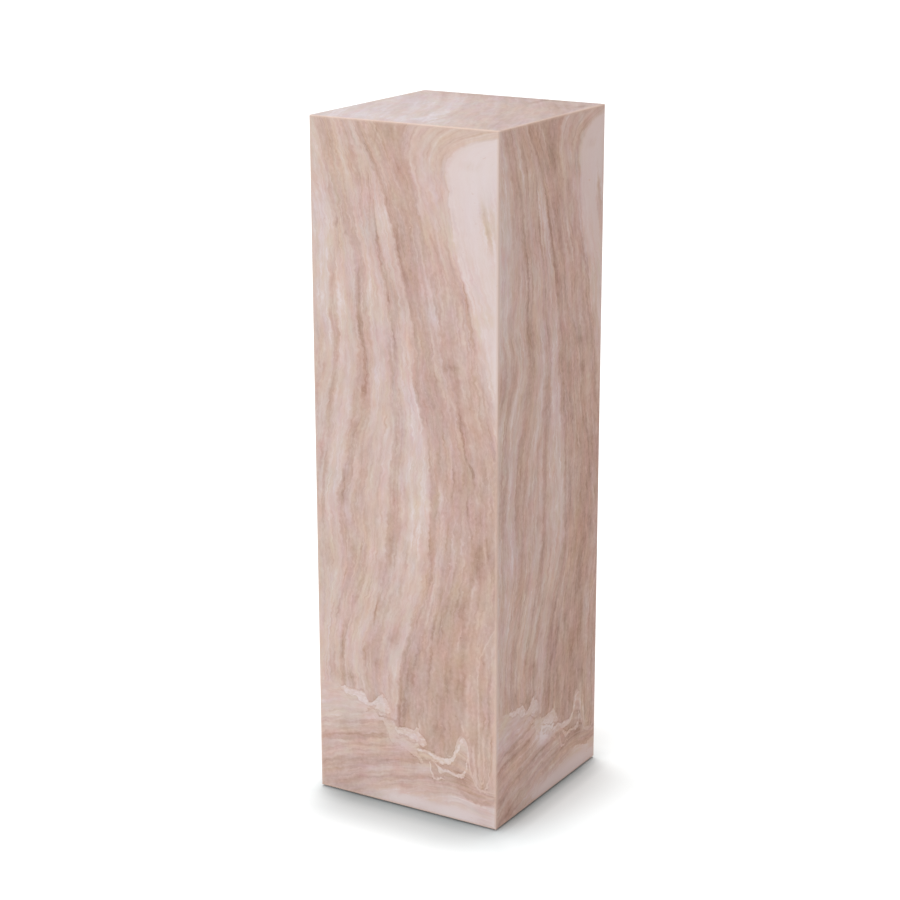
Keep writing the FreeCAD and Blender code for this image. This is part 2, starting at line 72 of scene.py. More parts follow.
class Recipe:
    """Adds nodes to one tree. Each helper returns the socket that carries its result. Called r below."""

    def __init__(self, tree):
        self.tree = tree

    def add(self, kind, inputs=(), **settings):
        node = self.tree.nodes.new(kind)
        for name, value in settings.items():
            setattr(node, name, value)
        for name, value in dict(inputs).items():
            self.feed(node.inputs[name], value)
        return node

    def feed(self, socket, value):
        if isinstance(value, bpy.types.NodeSocket):
            self.tree.links.new(value, socket)
        else:
            socket.default_value = value

    def math(self, operation, a, b=0.0, c=0.0):
        node = self.add("ShaderNodeMath", operation=operation)
        for socket, value in zip(node.inputs, (a, b, c)):
            self.feed(socket, value)
        return node.outputs[0]

    def times(self, a, b):
        return self.math("MULTIPLY", a, b)

    def plus(self, a, b):
        return self.math("ADD", a, b)

    def minus(self, a, b):
        return self.math("SUBTRACT", a, b)

    def scaled(self, a, b, c):
        """a times b, plus c."""
        return self.math("MULTIPLY_ADD", a, b, c)

    def vector(self, operation, a, b=(0, 0, 0), output=0):
        node = self.add("ShaderNodeVectorMath", operation=operation)
        self.feed(node.inputs[0], a)
        self.feed(node.inputs[1], b)
        return node.outputs[output]

    def tinted(self, start, direction, amount):
        """start, moved along a direction in colour by an amount."""
        scaled = self.add("ShaderNodeVectorMath", operation="SCALE")
        self.feed(scaled.inputs[0], direction)
        self.feed(scaled.inputs["Scale"], amount)
        return self.vector("ADD", start, scaled.outputs[0])

    def combine(self, x, y, z=0.0):
        return self.add("ShaderNodeCombineXYZ", {"X": x, "Y": y, "Z": z}).outputs[0]

    def separate(self, vector):
        return self.add("ShaderNodeSeparateXYZ", {"Vector": vector}).outputs

    def spread(self, value, low, high, to_low=0.0, to_high=1.0, smooth=False):
        """value as it goes from low to high, spread over to_low to to_high and held beyond them."""
        shape = "SMOOTHSTEP" if smooth else "LINEAR"
        sizes = {"Value": value, "From Min": low, "From Max": high, "To Min": to_low, "To Max": to_high}
        return self.add("ShaderNodeMapRange", sizes, interpolation_type=shape, clamp=not smooth).outputs[0]

    def noise(self, place, detail, roughness):
        sizes = {"Vector": place, "Scale": 1.0, "Detail": detail, "Roughness": roughness}
        return self.add("ShaderNodeTexNoise", sizes).outputs["Fac"]

    def ramp(self, value, stops):
        """The colour at a value, along stops whose first and last may lie anywhere."""
        first, last = stops[0][0], stops[-1][0]
        node = self.add("ShaderNodeValToRGB", {"Fac": self.spread(value, first, last)})
        elements = node.color_ramp.elements
        elements.remove(elements[-1])
        for i, (position, colour) in enumerate(stops):
            share = (position - first) / (last - first)
            stop = elements[0] if i == 0 else elements.new(share)
            stop.position = share
            stop.color = (*colour, 1)
        return node.outputs["Color"]

    def curve(self, value, points, handle="AUTO"):
        """value carried through a smooth line drawn through points, which lie in the unit square."""
        node = self.add("ShaderNodeFloatCurve", {"Value": value})
        line = node.mapping.curves[0].points
        for i, (x, y) in enumerate(points):
            if i < 2:
                line[i].location = (x, y)
            else:
                line.new(x, y)
        for point in line:
            point.handle_type = handle
        node.mapping.update()
        return node.outputs[0]

    def mix(self, share, first, second):
        node = self.add("ShaderNodeMix", data_type="RGBA")
        self.feed(node.inputs[0], share)
        self.feed(node.inputs[6], first)
        self.feed(node.inputs[7], second)
        return node.outputs[2]

    def blend(self, share, first, second):
        node = self.add("ShaderNodeMix", data_type="FLOAT")
        self.feed(node.inputs[0], share)
        self.feed(node.inputs[2], first)
        self.feed(node.inputs[3], second)
        return node.outputs[0]


def srgb(red, green, blue):
    """A colour named as a screen shows it, from 0 to 255, as the light that it reflects."""
    shares = [part / 255 for part in (red, green, blue)]
    return tuple(s / 12.92 if s <= 0.04045 else ((s + 0.055) / 1.055) ** 2.4 for s in shares)


def new_material(name):
    material = bpy.data.materials.new(name)
    material.use_nodes = True
    material.node_tree.nodes.clear()
    return material, Recipe(material.node_tree)


def finish_material(r, colour, roughness, height=None, bump_distance=0.0002, metallic=0.0):
    shader = r.add(
        "ShaderNodeBsdfPrincipled",
        {"Base Color": colour, "Roughness": roughness, "Metallic": metallic},
    )
    if height is not None:
        bump = r.add("ShaderNodeBump", {"Height": height, "Distance": bump_distance, "Strength": 1.0})
        r.feed(shader.inputs["Normal"], bump.outputs[0])
    output = r.add("ShaderNodeOutputMaterial")
    r.feed(output.inputs["Surface"], shader.outputs[0])


# Veins of the stone
#
# The slabs were sawn one after another from one block, so every wall shows the same veins.
# Each vein is drawn through points: how far down the wall, and how far across it.

VEINS = {
    "cream_side": [
        (0, -8), (50, 10), (100, 22), (150, 36), (250, 39), (345, 41), (390, 30), (450, 21),
        (500, 15), (575, 11), (650, 12), (725, 10), (850, 2),
    ],
    "dark_streak": [
        (0, 25), (55, 37), (110, 50), (150, 62), (200, 77), (250, 78), (300, 83), (340, 88),
        (380, 84), (425, 74), (450, 65), (500, 59), (540, 48), (620, 54), (695, 36), (750, 25),
        (850, 27),
    ],
    "thread": [
        (0, 66), (75, 95), (105, 98), (150, 106), (210, 121), (280, 130), (320, 134), (440, 140),
        (500, 134), (550, 134), (625, 125), (680, 108), (725, 97), (780, 82), (850, 93),
    ],
    "brown_edge": [
        (0, 72), (35, 91), (90, 116), (135, 132), (200, 148), (270, 167), (310, 171), (350, 169),
        (400, 184), (480, 192), (550, 193), (640, 184), (710, 161), (775, 145), (860, 135),
    ],
    "brown_heart": [
        (0, 112), (50, 131), (100, 150), (200, 181), (300, 197), (400, 216), (500, 226),
        (600, 216), (700, 194), (800, 177), (860, 174),
    ],
    "brown_side": [
        (0, 195), (12, 173), (30, 165), (48, 162), (100, 174), (150, 191), (200, 210), (280, 220),
        (325, 224), (400, 238), (480, 255), (525, 258), (625, 250), (700, 234), (800, 225), (860, 222),
    ],
    "ring": [
        (0, 240), (10, 215), (30, 197), (50, 192), (100, 200), (150, 215), (220, 239), (280, 250),
        (360, 260), (450, 273), (550, 280), (645, 281), (690, 274), (780, 270), (940, 269),
    ],
    "pale_edge": [
        (0, 350), (10, 300), (22, 250), (38, 225), (60, 215), (90, 217), (140, 228), (195, 242),
        (245, 258), (310, 268), (350, 276), (410, 287), (465, 300), (550, 309), (650, 312), (750, 300),
        (850, 297),
    ],
}

# How pale the stone is, from 0 for brown to 1 for nearly white: at a height, across the wall

TONES = {
    60: [
        (0, 0.68), (10, 0.74), (20, 0.62), (36, 0.46), (44, 0.52), (52, 0.7), (57, 0.6), (66, 0.52),
        (76, 0.55), (82, 0.64), (92, 0.6), (97, 0.4), (103, 0.38), (110, 0.46), (124, 0.45),
        (140, 0.33), (156, 0.42), (160, 0.52), (164, 0.74), (172, 0.64), (200, 0.6), (211, 0.66),
        (217, 0.88), (226, 0.98), (270, 1.0), (290, 0.95),
    ],
    130: [
        (0, 0.84), (22, 0.85), (30, 0.72), (36, 0.52), (50, 0.54), (56, 0.5), (66, 0.58), (74, 0.62),
        (90, 0.58), (98, 0.5), (102, 0.38), (105, 0.72), (118, 0.72), (126, 0.52), (131, 0.34),
        (138, 0.44), (148, 0.32), (158, 0.4), (174, 0.42), (179, 0.66), (190, 0.58), (204, 0.6),
        (216, 0.72), (230, 0.9), (262, 0.97), (280, 0.85), (292, 0.82),
    ],
    240: [
        (0, 0.78), (22, 0.84), (34, 0.64), (46, 0.74), (58, 0.66), (72, 0.62), (77, 0.36), (83, 0.5),
        (92, 0.6), (98, 0.76), (112, 0.72), (122, 0.52), (130, 0.48), (142, 0.62), (154, 0.62),
        (159, 0.38), (170, 0.44), (184, 0.46), (194, 0.56), (208, 0.44), (222, 0.52), (238, 0.5),
        (248, 0.44), (255, 0.58), (260, 0.84), (285, 0.9),
    ],
    375: [
        (0, 0.48), (10, 0.5), (20, 0.64), (30, 0.5), (38, 0.74), (52, 0.8), (66, 0.68), (78, 0.44),
        (88, 0.38), (95, 0.6), (104, 0.72), (118, 0.74), (126, 0.58), (134, 0.48), (142, 0.58),
        (148, 0.76), (162, 0.84), (169, 0.62), (176, 0.34), (196, 0.34), (214, 0.44), (226, 0.48),
        (238, 0.34), (248, 0.52), (262, 0.56), (274, 0.44), (283, 0.62), (292, 0.78),
    ],
    500: [
        (0, 0.6), (8, 0.5), (18, 0.48), (26, 0.7), (42, 0.76), (49, 0.54), (56, 0.42), (68, 0.5),
        (84, 0.55), (96, 0.7), (108, 0.68), (122, 0.7), (131, 0.44), (139, 0.48), (147, 0.7),
        (168, 0.76), (186, 0.82), (194, 0.52), (206, 0.44), (222, 0.44), (236, 0.38), (252, 0.38),
        (262, 0.36), (274, 0.34), (288, 0.4), (300, 0.42),
    ],
    650: [
        (0, 0.6), (12, 0.6), (24, 0.68), (42, 0.68), (49, 0.54), (56, 0.44), (66, 0.6), (78, 0.54),
        (86, 0.66), (102, 0.66), (112, 0.54), (118, 0.44), (126, 0.6), (146, 0.64), (158, 0.72),
        (170, 0.7), (180, 0.56), (186, 0.4), (194, 0.54), (208, 0.44), (226, 0.38), (240, 0.36),
        (252, 0.42), (262, 0.34), (276, 0.38), (290, 0.44),
    ],
    780: [
        (0, 0.72), (18, 0.72), (26, 0.62), (36, 0.62), (43, 0.42), (50, 0.58), (66, 0.68), (76, 0.56),
        (84, 0.46), (102, 0.42), (112, 0.52), (122, 0.62), (136, 0.7), (143, 0.52), (150, 0.28),
        (162, 0.36), (178, 0.4), (192, 0.36), (214, 0.38), (236, 0.32), (252, 0.42), (268, 0.52),
        (280, 0.42), (290, 0.5),
    ],
}

# A white fracture crosses the foot of the wall. These are its edge, how broad it is below the edge,
# and the arch that the veins below it follow, all at distances across the wall

FRACTURE = [
    (0, 828), (40, 832), (75, 834), (85, 850), (108, 834), (117, 868), (131, 874), (165, 878),
    (175, 902), (215, 909), (228, 900), (242, 868), (250, 872), (258, 915), (280, 942), (300, 940),
]
FRACTURE_BREADTH = [
    (0, 34), (75, 30), (100, 22), (125, 28), (150, 36), (170, 26), (180, 10), (225, 9), (240, 26),
    (252, 24), (262, 6), (300, 2),
]
FRACTURE_EDGE = 1.5
FULL_WHITE_SHARE = 0.6
ARCH = [
    (0, 0), (40, -13), (80, -20), (115, -29), (150, -36), (175, -40), (225, -38), (250, -30), (275, -14),
    (300, -16),
]
LOWER_ARCH_FROM, LOWER_ARCH_TO = 905, 975
LOWER_ARCH = [
    (0, 0), (50, -18), (100, -35), (150, -50), (200, -65), (235, -75), (262, -71), (300, -67),
]
TONES_BELOW = [
    (840, 0.84), (866, 0.8), (876, 0.74), (881, 0.62), (886, 0.7), (894, 0.62), (898, 0.48), (901, 0.4),
    (904, 0.5), (910, 0.54), (916, 0.44), (920, 0.26), (924, 0.5), (931, 0.56), (936, 0.4), (940, 0.56),
    (947, 0.54), (954, 0.46), (962, 0.34), (968, 0.42), (976, 0.52), (988, 0.54), (994, 0.44), (1000, 0.54),
    (1015, 0.56), (1026, 0.62), (1036, 0.84), (1060, 0.9),
]

# Strands of the fracture: how pale each is, and its points from left to right, each with its place
# across, its place down and half its height

STRANDS = [
    (0.34, [(78, 862, 0), (85, 859, 1.5), (92, 856, 1.2), (97, 857, 1.2), (103, 863, 1.5),
        (112, 865, 1.8), (130, 867, 1.8), (138, 868, 0)]),
    (0.34, [(160, 902, 0), (170, 901, 1), (180, 898, 1), (200, 900, 1), (220, 905, 1), (225, 900, 3),
        (231, 886, 0)]),
    (0.36, [(200, 915, 0), (208, 917, 2), (220, 919, 2.5), (229, 917, 2.5), (235, 909, 6),
        (240, 896, 0)]),
    (0.38, [(190, 926, 0), (194, 925, 5), (199, 927, 8), (204, 923, 4), (208, 920, 0)]),
    (0.32, [(234, 948, 0), (250, 957, 3), (262, 961, 3), (275, 963, 3), (290, 958, 3), (300, 953, 3)]),
    (0.96, [(36, 834, 0), (42, 833, 3), (48, 838, 4), (56, 838, 4), (62, 837, 4), (68, 840, 7),
        (76, 842, 9), (81, 846, 7), (87, 851, 0)]),
    (0.93, [(83, 852, 0), (90, 849, 2), (97, 845, 4), (103, 840, 6), (108, 836, 6), (111, 834, 0)]),
    (0.9, [(95, 854, 0), (103, 850, 5), (110, 847, 10), (116, 848, 10), (123, 853, 0)]),
    (0.72, [(95, 861, 0), (101, 867, 2), (112, 871, 3), (118, 880, 5), (125, 889, 11), (129, 885, 14),
        (133, 882, 0)]),
    (0.9, [(130, 878, 0), (136, 880, 4), (150, 880, 5), (163, 881, 7), (170, 882, 10), (176, 886, 9),
        (184, 893, 0)]),
    (0.4, [(132, 877, 0), (136, 878, 0.7), (150, 878, 0.7), (163, 876, 0)]),
    (0.42, [(132, 885, 0), (140, 886, 1), (152, 889, 1), (166, 893, 1.2), (176, 892, 0)]),
    (0.72, [(132, 896, 0), (142, 898, 5), (155, 902, 7), (165, 908, 5), (172, 916, 4), (178, 922, 0)]),
    (0.97, [(166, 905, 0), (172, 904, 2), (182, 903, 2.5), (194, 907, 3), (206, 910, 4), (218, 911, 4),
        (225, 908, 4), (231, 898, 5), (237, 886, 6), (242, 876, 4), (245, 873, 0)]),
    (0.9, [(198, 916, 0), (202, 920, 3), (206, 925, 5), (211, 927, 2.5), (222, 926, 2), (232, 927, 2),
        (240, 927, 3), (246, 924, 5), (250, 914, 8), (253, 900, 0)]),
    (0.9, [(188, 918, 0), (191, 926, 5), (194, 936, 4), (199, 941, 1.8), (205, 941, 1.5),
        (212, 938, 1), (218, 939, 0)]),
    (0.72, [(261, 905, 0), (263, 918, 8), (267, 934, 4), (272, 942, 1.5), (279, 943, 1.5),
        (285, 934, 4), (288, 918, 7), (290, 905, 0)]),
    (0.7, [(269, 908, 0), (271, 920, 4), (274, 930, 1.5), (278, 931, 1.5), (281, 922, 4),
        (283, 908, 0)]),
]

# Strokes along the veins: the change, half the breadth, and points down the wall and across it

STROKES = [
    (0.24, 1.3, [(62, 19), (72, 25), (88, 29), (104, 27)]),
    (0.2, 2.4, [(38, 44), (50, 50), (60, 55), (70, 59), (84, 66)]),
    (-0.34, 1.0, [(66, 94), (78, 96), (90, 97), (100, 98), (114, 100)]),
    (-0.2, 2.4, [(0, 79), (15, 79), (24, 83), (32, 89), (42, 97), (55, 104), (68, 111), (80, 115),
        (95, 120)]),
    (0.22, 3.5, [(0, 95), (12, 95), (24, 94)]),
    (-0.24, 1.4, [(0, 110), (12, 110), (24, 108), (34, 104)]),
    (-0.24, 2.6, [(92, 119), (108, 126), (120, 129), (135, 133), (150, 138), (170, 143), (190, 148),
        (215, 152)]),
    (0.1, 6.0, [(60, 105), (80, 110), (100, 115), (118, 118), (150, 124)]),
    (-0.16, 2.2, [(125, 105), (140, 106), (156, 109), (168, 111), (185, 116), (205, 122), (228, 124)]),
    (0.15, 1.6, [(24, 167), (34, 163), (46, 162), (60, 165), (75, 171), (90, 175), (105, 179),
        (124, 184)]),
    (-0.18, 1.1, [(84, 186), (92, 187), (106, 190)]),
    (-0.18, 1.8, [(146, 192), (158, 198), (168, 203), (180, 207), (204, 211)]),
    (-0.1, 1.5, [(150, 212), (165, 218), (180, 224), (200, 229)]),
    (-0.24, 1.5, [(196, 80), (215, 77), (230, 77), (245, 78), (266, 77)]),
    (-0.18, 4.5, [(262, 80), (280, 80), (292, 79), (305, 81), (320, 84), (335, 87), (350, 88),
        (365, 86), (390, 82)]),
    (-0.16, 2.4, [(262, 27), (280, 31), (295, 34), (308, 38), (322, 41)]),
    (-0.14, 2.2, [(322, 42), (345, 39), (370, 33), (395, 27), (420, 24)]),
    (-0.34, 1.8, [(228, 123), (238, 125), (252, 128)]),
    (-0.16, 2.2, [(262, 131), (278, 133), (296, 135), (314, 137), (334, 136)]),
    (-0.22, 3.6, [(200, 153), (214, 155), (226, 156), (238, 160)]),
    (-0.16, 2.4, [(226, 153), (242, 158), (256, 164), (275, 168), (292, 170), (310, 171)]),
    (0.14, 4.5, [(198, 187), (215, 190), (232, 193), (250, 197), (268, 202), (284, 207), (305, 211)]),
    (-0.24, 1.5, [(200, 242), (220, 248), (236, 251), (252, 255), (266, 258), (282, 262), (296, 265),
        (318, 270)]),
    (-0.16, 1.8, [(335, 277), (350, 277), (365, 277), (382, 281)]),
    (-0.2, 2.0, [(470, 64), (486, 63), (500, 62), (514, 60)]),
    (-0.22, 2.4, [(494, 48), (515, 48), (535, 46), (560, 44)]),
    (-0.14, 2.6, [(474, 20), (492, 18), (510, 14), (535, 13), (570, 12)]),
    (-0.16, 2.8, [(395, 138), (430, 140), (450, 138), (470, 136), (490, 134), (510, 133), (545, 133)]),
    (-0.2, 1.8, [(395, 186), (440, 190), (480, 192), (500, 194), (550, 192), (605, 190)]),
    (0.16, 3.4, [(494, 208), (520, 210), (545, 211), (580, 212)]),
    (0.2, 1.6, [(424, 225), (450, 226), (468, 228)]),
    (-0.18, 1.6, [(466, 228), (480, 230), (495, 231)]),
    (-0.24, 2.6, [(388, 238), (405, 241), (422, 244), (440, 247), (455, 251), (468, 259), (482, 263),
        (498, 265)]),
    (-0.2, 2.0, [(505, 252), (525, 252), (550, 255), (565, 260), (590, 259)]),
    (0.15, 2.0, [(548, 276), (570, 278), (596, 280)]),
    (-0.2, 1.6, [(555, 282), (578, 284), (604, 285)]),
    (-0.2, 1.4, [(596, 78), (620, 75), (640, 72), (655, 68), (675, 63), (700, 60), (718, 57)]),
    (-0.2, 1.6, [(630, 87), (650, 83), (670, 77), (690, 69), (702, 62)]),
    (-0.34, 1.4, [(670, 106), (690, 103), (705, 99), (716, 97), (734, 99)]),
    (-0.22, 1.8, [(712, 47), (740, 43), (770, 41), (798, 40)]),
    (0.2, 2.2, [(596, 203), (640, 200), (660, 196), (680, 190), (700, 186), (718, 180)]),
    (-0.16, 2.0, [(615, 212), (650, 210), (680, 205), (700, 199), (734, 193)]),
    (0.16, 1.8, [(630, 265), (660, 258), (690, 254), (710, 250)]),
    (0.26, 1.1, [(692, 298), (715, 285), (730, 278), (745, 272), (770, 270), (820, 270), (860, 271),
        (898, 272)]),
    (-0.2, 1.2, [(836, 267), (860, 268), (898, 268)]),
    (-0.2, 1.8, [(765, 288), (790, 287), (820, 287), (846, 288)]),
    (0.16, 1.6, [(712, 239), (730, 237), (748, 234)]),
    (0.36, 1.6, [(828, 240), (842, 242), (856, 245), (866, 248)]),
    (0.24, 3.0, [(852, 250), (866, 253), (880, 255), (894, 255), (908, 253)]),
    (0.3, 1.6, [(872, 262), (890, 262), (906, 264), (924, 266), (940, 270)]),
    (-0.3, 1.2, [(868, 266), (890, 266), (906, 268), (922, 270), (934, 274)]),
    (0.26, 1.4, [(850, 278), (880, 279), (905, 280), (925, 280)]),
    (-0.26, 1.4, [(850, 292), (880, 292), (905, 291), (925, 288)]),
    (0.22, 1.8, [(856, 171), (870, 173), (884, 174), (902, 176)]),
]

# Local changes of tone: across, down, radius across, radius down, change

PATCHES = [
    (152, 195, 7, 55, -0.08), (277, 132, 7, 26, -0.2), (249, 222, 2, 25, -0.15),
    (222, 325, 10, 8, -0.12), (172, 370, 4, 22, -0.15), (135, 300, 2, 22, -0.15), (56, 485, 8, 52, -0.1),
    (127, 600, 6, 40, -0.12), (77, 650, 5, 30, -0.08), (192, 612, 3, 30, -0.18), (270, 605, 8, 22, -0.18),
    (240, 664, 8, 30, -0.15), (115, 690, 10, 14, -0.12), (59, 818, 7, 12, -0.2),
    (214, 790, 5, 28, -0.12), (175, 540, 14, 40, 0.06), (205, 880, 22, 26, -0.1),
    (25, 812, 30, 14, -0.12), (257, 850, 2, 40, -0.15), (105, 845, 14, 14, -0.12),
    (150, 842, 14, 18, -0.1), (60, 815, 16, 13, -0.16), (126, 838, 8, 28, -0.22), (40, 144, 5, 7, -0.24),
    (64, 66, 2, 5, -0.2), (75, 38, 3, 3, -0.2), (59, 158, 3, 3, -0.24), (100, 110, 3, 3, -0.24),
    (93, 124, 3, 8, -0.14), (24, 640, 3, 10, -0.16), (46, 656, 3, 3, -0.2), (36, 690, 2, 12, -0.16),
    (128, 742, 4, 4, -0.2), (52, 741, 3, 10, -0.16), (84, 770, 5, 12, -0.18), (103, 782, 8, 5, -0.18),
    (180, 750, 6, 5, -0.18), (178, 752, 2, 3, 0.3), (222, 328, 14, 4, -0.16), (53, 538, 6, 14, -0.14),
    (271, 533, 4, 14, -0.16), (160, 790, 5, 14, -0.12), (64, 450, 9, 26, -0.08), (255, 50, 14, 6, -0.08),
    (276, 112, 2, 8, -0.08), (175, 770, 8, 30, -0.1), (215, 740, 50, 110, -0.05),
    (296, 600, 8, 80, -0.12), (122, 570, 5, 14, -0.1), (64, 840, 30, 10, -0.06),
]
PATCHES_BELOW = [
    (75, 950, 45, 10, 0.06), (180, 929, 12, 8, 0.14), (246, 934, 12, 8, -0.26), (15, 897, 16, 6, 0.14),
    (184, 913, 10, 4, -0.2), (228, 934, 26, 4, -0.16), (262, 950, 22, 4, -0.16),
    (275, 988, 14, 9, -0.1), (292, 915, 7, 30, -0.12), (30, 984, 20, 6, -0.1), (150, 900, 16, 8, 0.26),
    (225, 945, 40, 7, -0.12), (275, 957, 25, 5, -0.16), (125, 982, 44, 11, 0.34), (235, 988, 50, 8, 0.2),
    (22, 882, 24, 12, 0.06),
]

# Broad drifts of hue: across, down, radius across, radius down, change

ROSE_PATCHES = [
    (8, 450, 24, 420, -0.5), (165, 160, 60, 150, 0.35), (235, 450, 50, 320, 0.3),
    (30, 870, 55, 20, -0.45), (165, 500, 14, 45, -0.6), (280, 90, 28, 60, -0.2),
    (150, 897, 18, 8, -0.7), (240, 985, 50, 12, 0.3), (95, 705, 45, 45, -0.35),
    (130, 868, 24, 18, -0.4), (225, 720, 70, 200, -0.25),
]
SAND_PATCHES = [
    (120, 30, 120, 60, 0.6), (258, 410, 18, 110, 0.8), (45, 560, 22, 60, -0.75),
    (140, 370, 40, 120, -0.4), (20, 872, 45, 25, -1.3), (130, 790, 45, 60, -0.4),
    (230, 910, 40, 30, 0.4), (162, 85, 8, 30, 0.7), (268, 90, 30, 60, -0.6), (14, 150, 14, 60, -0.6),
    (60, 850, 26, 12, -0.5), (25, 740, 16, 40, -0.4), (18, 215, 18, 40, -0.45),
    (138, 903, 26, 12, -0.6), (50, 610, 40, 60, -0.55), (8, 650, 12, 50, -0.5),
    (235, 950, 60, 22, 0.5), (262, 430, 34, 80, 0.55), (200, 170, 40, 60, 0.45),
    (235, 700, 60, 160, 0.25), (138, 903, 24, 12, -0.5),
]

SLAB_BREADTH = 300
STONE_FOOT = 998

# The spans that the curves run along, and the reaches that they move in
BREADTH_SPAN = (0, SLAB_BREADTH)
HEIGHT_SPAN = (0, 1000)
VEIN_REACH = (-60, 420)
ARCH_REACH = (-90, 20)
LAYER_SPAN = (820, 1080)
FRACTURE_REACH = (800, 960)
STRAND_REACH = (800, 1000)
STRAND_HALF_REACH = (0, 20)
STROKE_REACH = (-20, 320)
DRIFT_REACH = (-30, 30)
HALFWAY = 500

# How far patches, strokes and strands fade, and where the dark outline of a pale strand lies
PATCH_FADE_SHARE = 1.8
STROKE_EDGE = 1.1
STROKE_FADE = 12
STRAND_EDGE = 1.0
STRAND_START = 2
OUTLINE_OFFSET = 1.8
OUTLINE_EDGE = (0.3, 1.5)
OUTLINE_TONE = -0.20
OUTLINED_FROM = 0.5

# Noise in the stone: the size of one grain of it, its detail and its roughness. Those laid along the
# veins have the grain's size across the veins first, then along them, then through the block.
GRAINS = {
    "drift": ((30, 48, 60),),
    "ripple": ((12, 9, 25), 3.0),
    "ragged edge": ((7, 7, 20), 3.0),
    "crumple": ((6, 6, 20), 3.0),
    "broad": ((8, 110, 40),),
    "streaks": ((4, 26, 30), 3.0),
    "thin": ((2.6, 55, 30), 1.0),
    "clouds": ((16, 26, 20), 3.0),
    "mottle": ((5, 6, 6), 3.0),
    "grain": ((1.8, 1.8, 1.8), 2.0),
    "bend": ((16, 200, 60),),
    "wear": ((5, 22, 20), 2.0),
    "white": ((12, 4.5, 8), 4.0, 0.6),
    "patches in strands": ((7, 4, 8), 4.0, 0.6),
    "flecks": ((4, 3, 4), 3.0),
    "specks": ((3.5, 4.5, 4), 2.0),
    "pits": ((2.6, 8, 4), 2.0),
    "rose along veins": ((11, 40, 30), 3.0),
    "rose clouds": ((30, 45, 40), 3.0),
    "sand along veins": ((9, 40, 30), 3.0),
    "sand clouds": ((40, 90, 60),),
    "top drift": ((40, 60, 40),),
    "top ripple": ((12, 16, 20), 3.0),
    "top broad": ((9, 90, 30),),
    "top streaks": ((4, 30, 30), 3.0),
    "top clouds": ((14, 20, 20), 3.0),
}
NOISE_GAIN = 4.0
WEAR = (-0.9, 0.5, 0.2, 1.1)
STRAND_WEAR = (-0.9, 0.3, 0.2, 1.0)
SPECKS_FROM, SPECKS_TO = 0.75, 1.05
PITS_FROM, PITS_TO = 0.8, 1.15

# How far noise sways the veins and the edge of the fracture, and the shares of it that other marks take
DRIFT_SWAY = 2.6
RIPPLE_SWAY = 2.7
RAGGED_SWAY = 2.5
CRUMPLE_SWAY = 2.0
TOP_DRIFT_SWAY = 4.0
TOP_RIPPLE_SWAY = 2.2
LAYER_WAVE_SHARE = 0.6
STRAND_RIPPLE_SHARE = 0.8
STROKE_RIPPLE_SHARE = 0.45
STROKE_DRIFT_SHARE = 0.5

# Seams are crests of a sine across the veins
SEAM_PACE = 0.75
SEAM_BEND = 5.0
SEAM_CREST = 0.75

# Tones, changes of tone, and how the pale stone calms them: from one tone to another, from one share to
# another
WHITE_TONE, WHITE_SPREAD = 0.72, 0.21
FLECK_TONE = 0.12
SPECK_TONE = 0.24
PIT_TONE = -0.22
CALM_SHARES = (0.78, 1.0, 1.0, 0.10)
HUE_CALM_SHARES = (0.82, 0.98, 1.0, 0.15)
MOTTLE_SHARES = (0.75, 0.45, 0.6, 1.35)
SAND_LIFE_SHARE = 1.3
MOTTLE_RELIEF, GRAIN_RELIEF, PIT_RELIEF = 0.12, 0.05, -0.3
STONE_COLOURS = [
    (0.00, srgb(174, 140, 125)),
    (0.25, srgb(193, 161, 148)),
    (0.45, srgb(203, 173, 162)),
    (0.60, srgb(211, 184, 174)),
    (0.75, srgb(216, 192, 183)),
    (0.88, srgb(221, 200, 194)),
    (1.00, srgb(227, 210, 207)),
    (1.15, srgb(231, 216, 214)),
]
# A band along each slab's edges is painted lighter and warmer: partly wear from honing, partly a painted
# highlight
ARRIS_BREADTH = 4.5
ARRIS_WEAR_AND_HIGHLIGHT_SHARE = 0.5
ARRIS_WEAR_AND_HIGHLIGHT_COLOUR = srgb(216, 188, 172)
STONE_ROUGHNESS = 0.5
STONE_RELIEF = 0.0001

VEIN_DRIFT = [
    (0, 2), (75, 5), (125, 4), (175, 0), (225, -1), (375, 0.5), (425, 2), (475, 0), (575, -3), (675, 0),
    (725, -1.5), (860, 0), (1000, 0),
]
NO_DRIFT = [(0, 0), (1000, 0)]
RIGHT_DRIFT = [
    (0, 2), (75, 5), (125, 4), (175, 4), (225, 5), (275, 1), (325, 7), (375, 3), (425, -2), (475, 0),
    (575, 5), (675, 4), (725, 2), (775, 1), (860, -2), (1000, 0),
]
LEFT_DRIFT = [(0, -9), (150, -3), (300, -10), (450, -2), (600, 6), (750, 2), (900, -5), (1000, -8)]
BACK_DRIFT = [(0, 7), (150, 12), (300, 3), (450, -6), (600, -3), (750, 5), (900, 8), (1000, 4)]
# Each wall's own changes of tone. The front's only one and the right's first lighten a strip along the near
# upright edge: a painted highlight of the rounded corner
FRONT_EDGE_HIGHLIGHT = [(300, 500, 5, 900, 0.10)]
RIGHT_PATCHES_AND_EDGE_HIGHLIGHT = [
    (0, 500, 5, 900, 0.34), (142, 897, 31, 16, 0.72), (100, 880, 26, 12, 0.2), (240, 8, 34, 9, 0.14),
    (230, 984, 50, 12, 0.1), (140, 52, 12, 26, -0.22), (88, 290, 12, 24, -0.2), (50, 160, 8, 34, 0.16),
    (110, 105, 6, 40, 0.14), (128, 140, 5, 30, 0.12), (230, 985, 70, 16, 0.1), (80, 835, 22, 10, -0.2),
    (22, 925, 8, 5, -0.2), (210, 600, 5, 60, -0.14), (40, 712, 20, 30, 0.12), (105, 740, 14, 30, 0.14),
    (222, 935, 30, 9, -0.2), (297, 450, 5, 260, -0.12),
]

ROSE_SHARE = (0.016, -0.036, -0.014)
SAND_SHARE = (0.010, -0.004, -0.052)


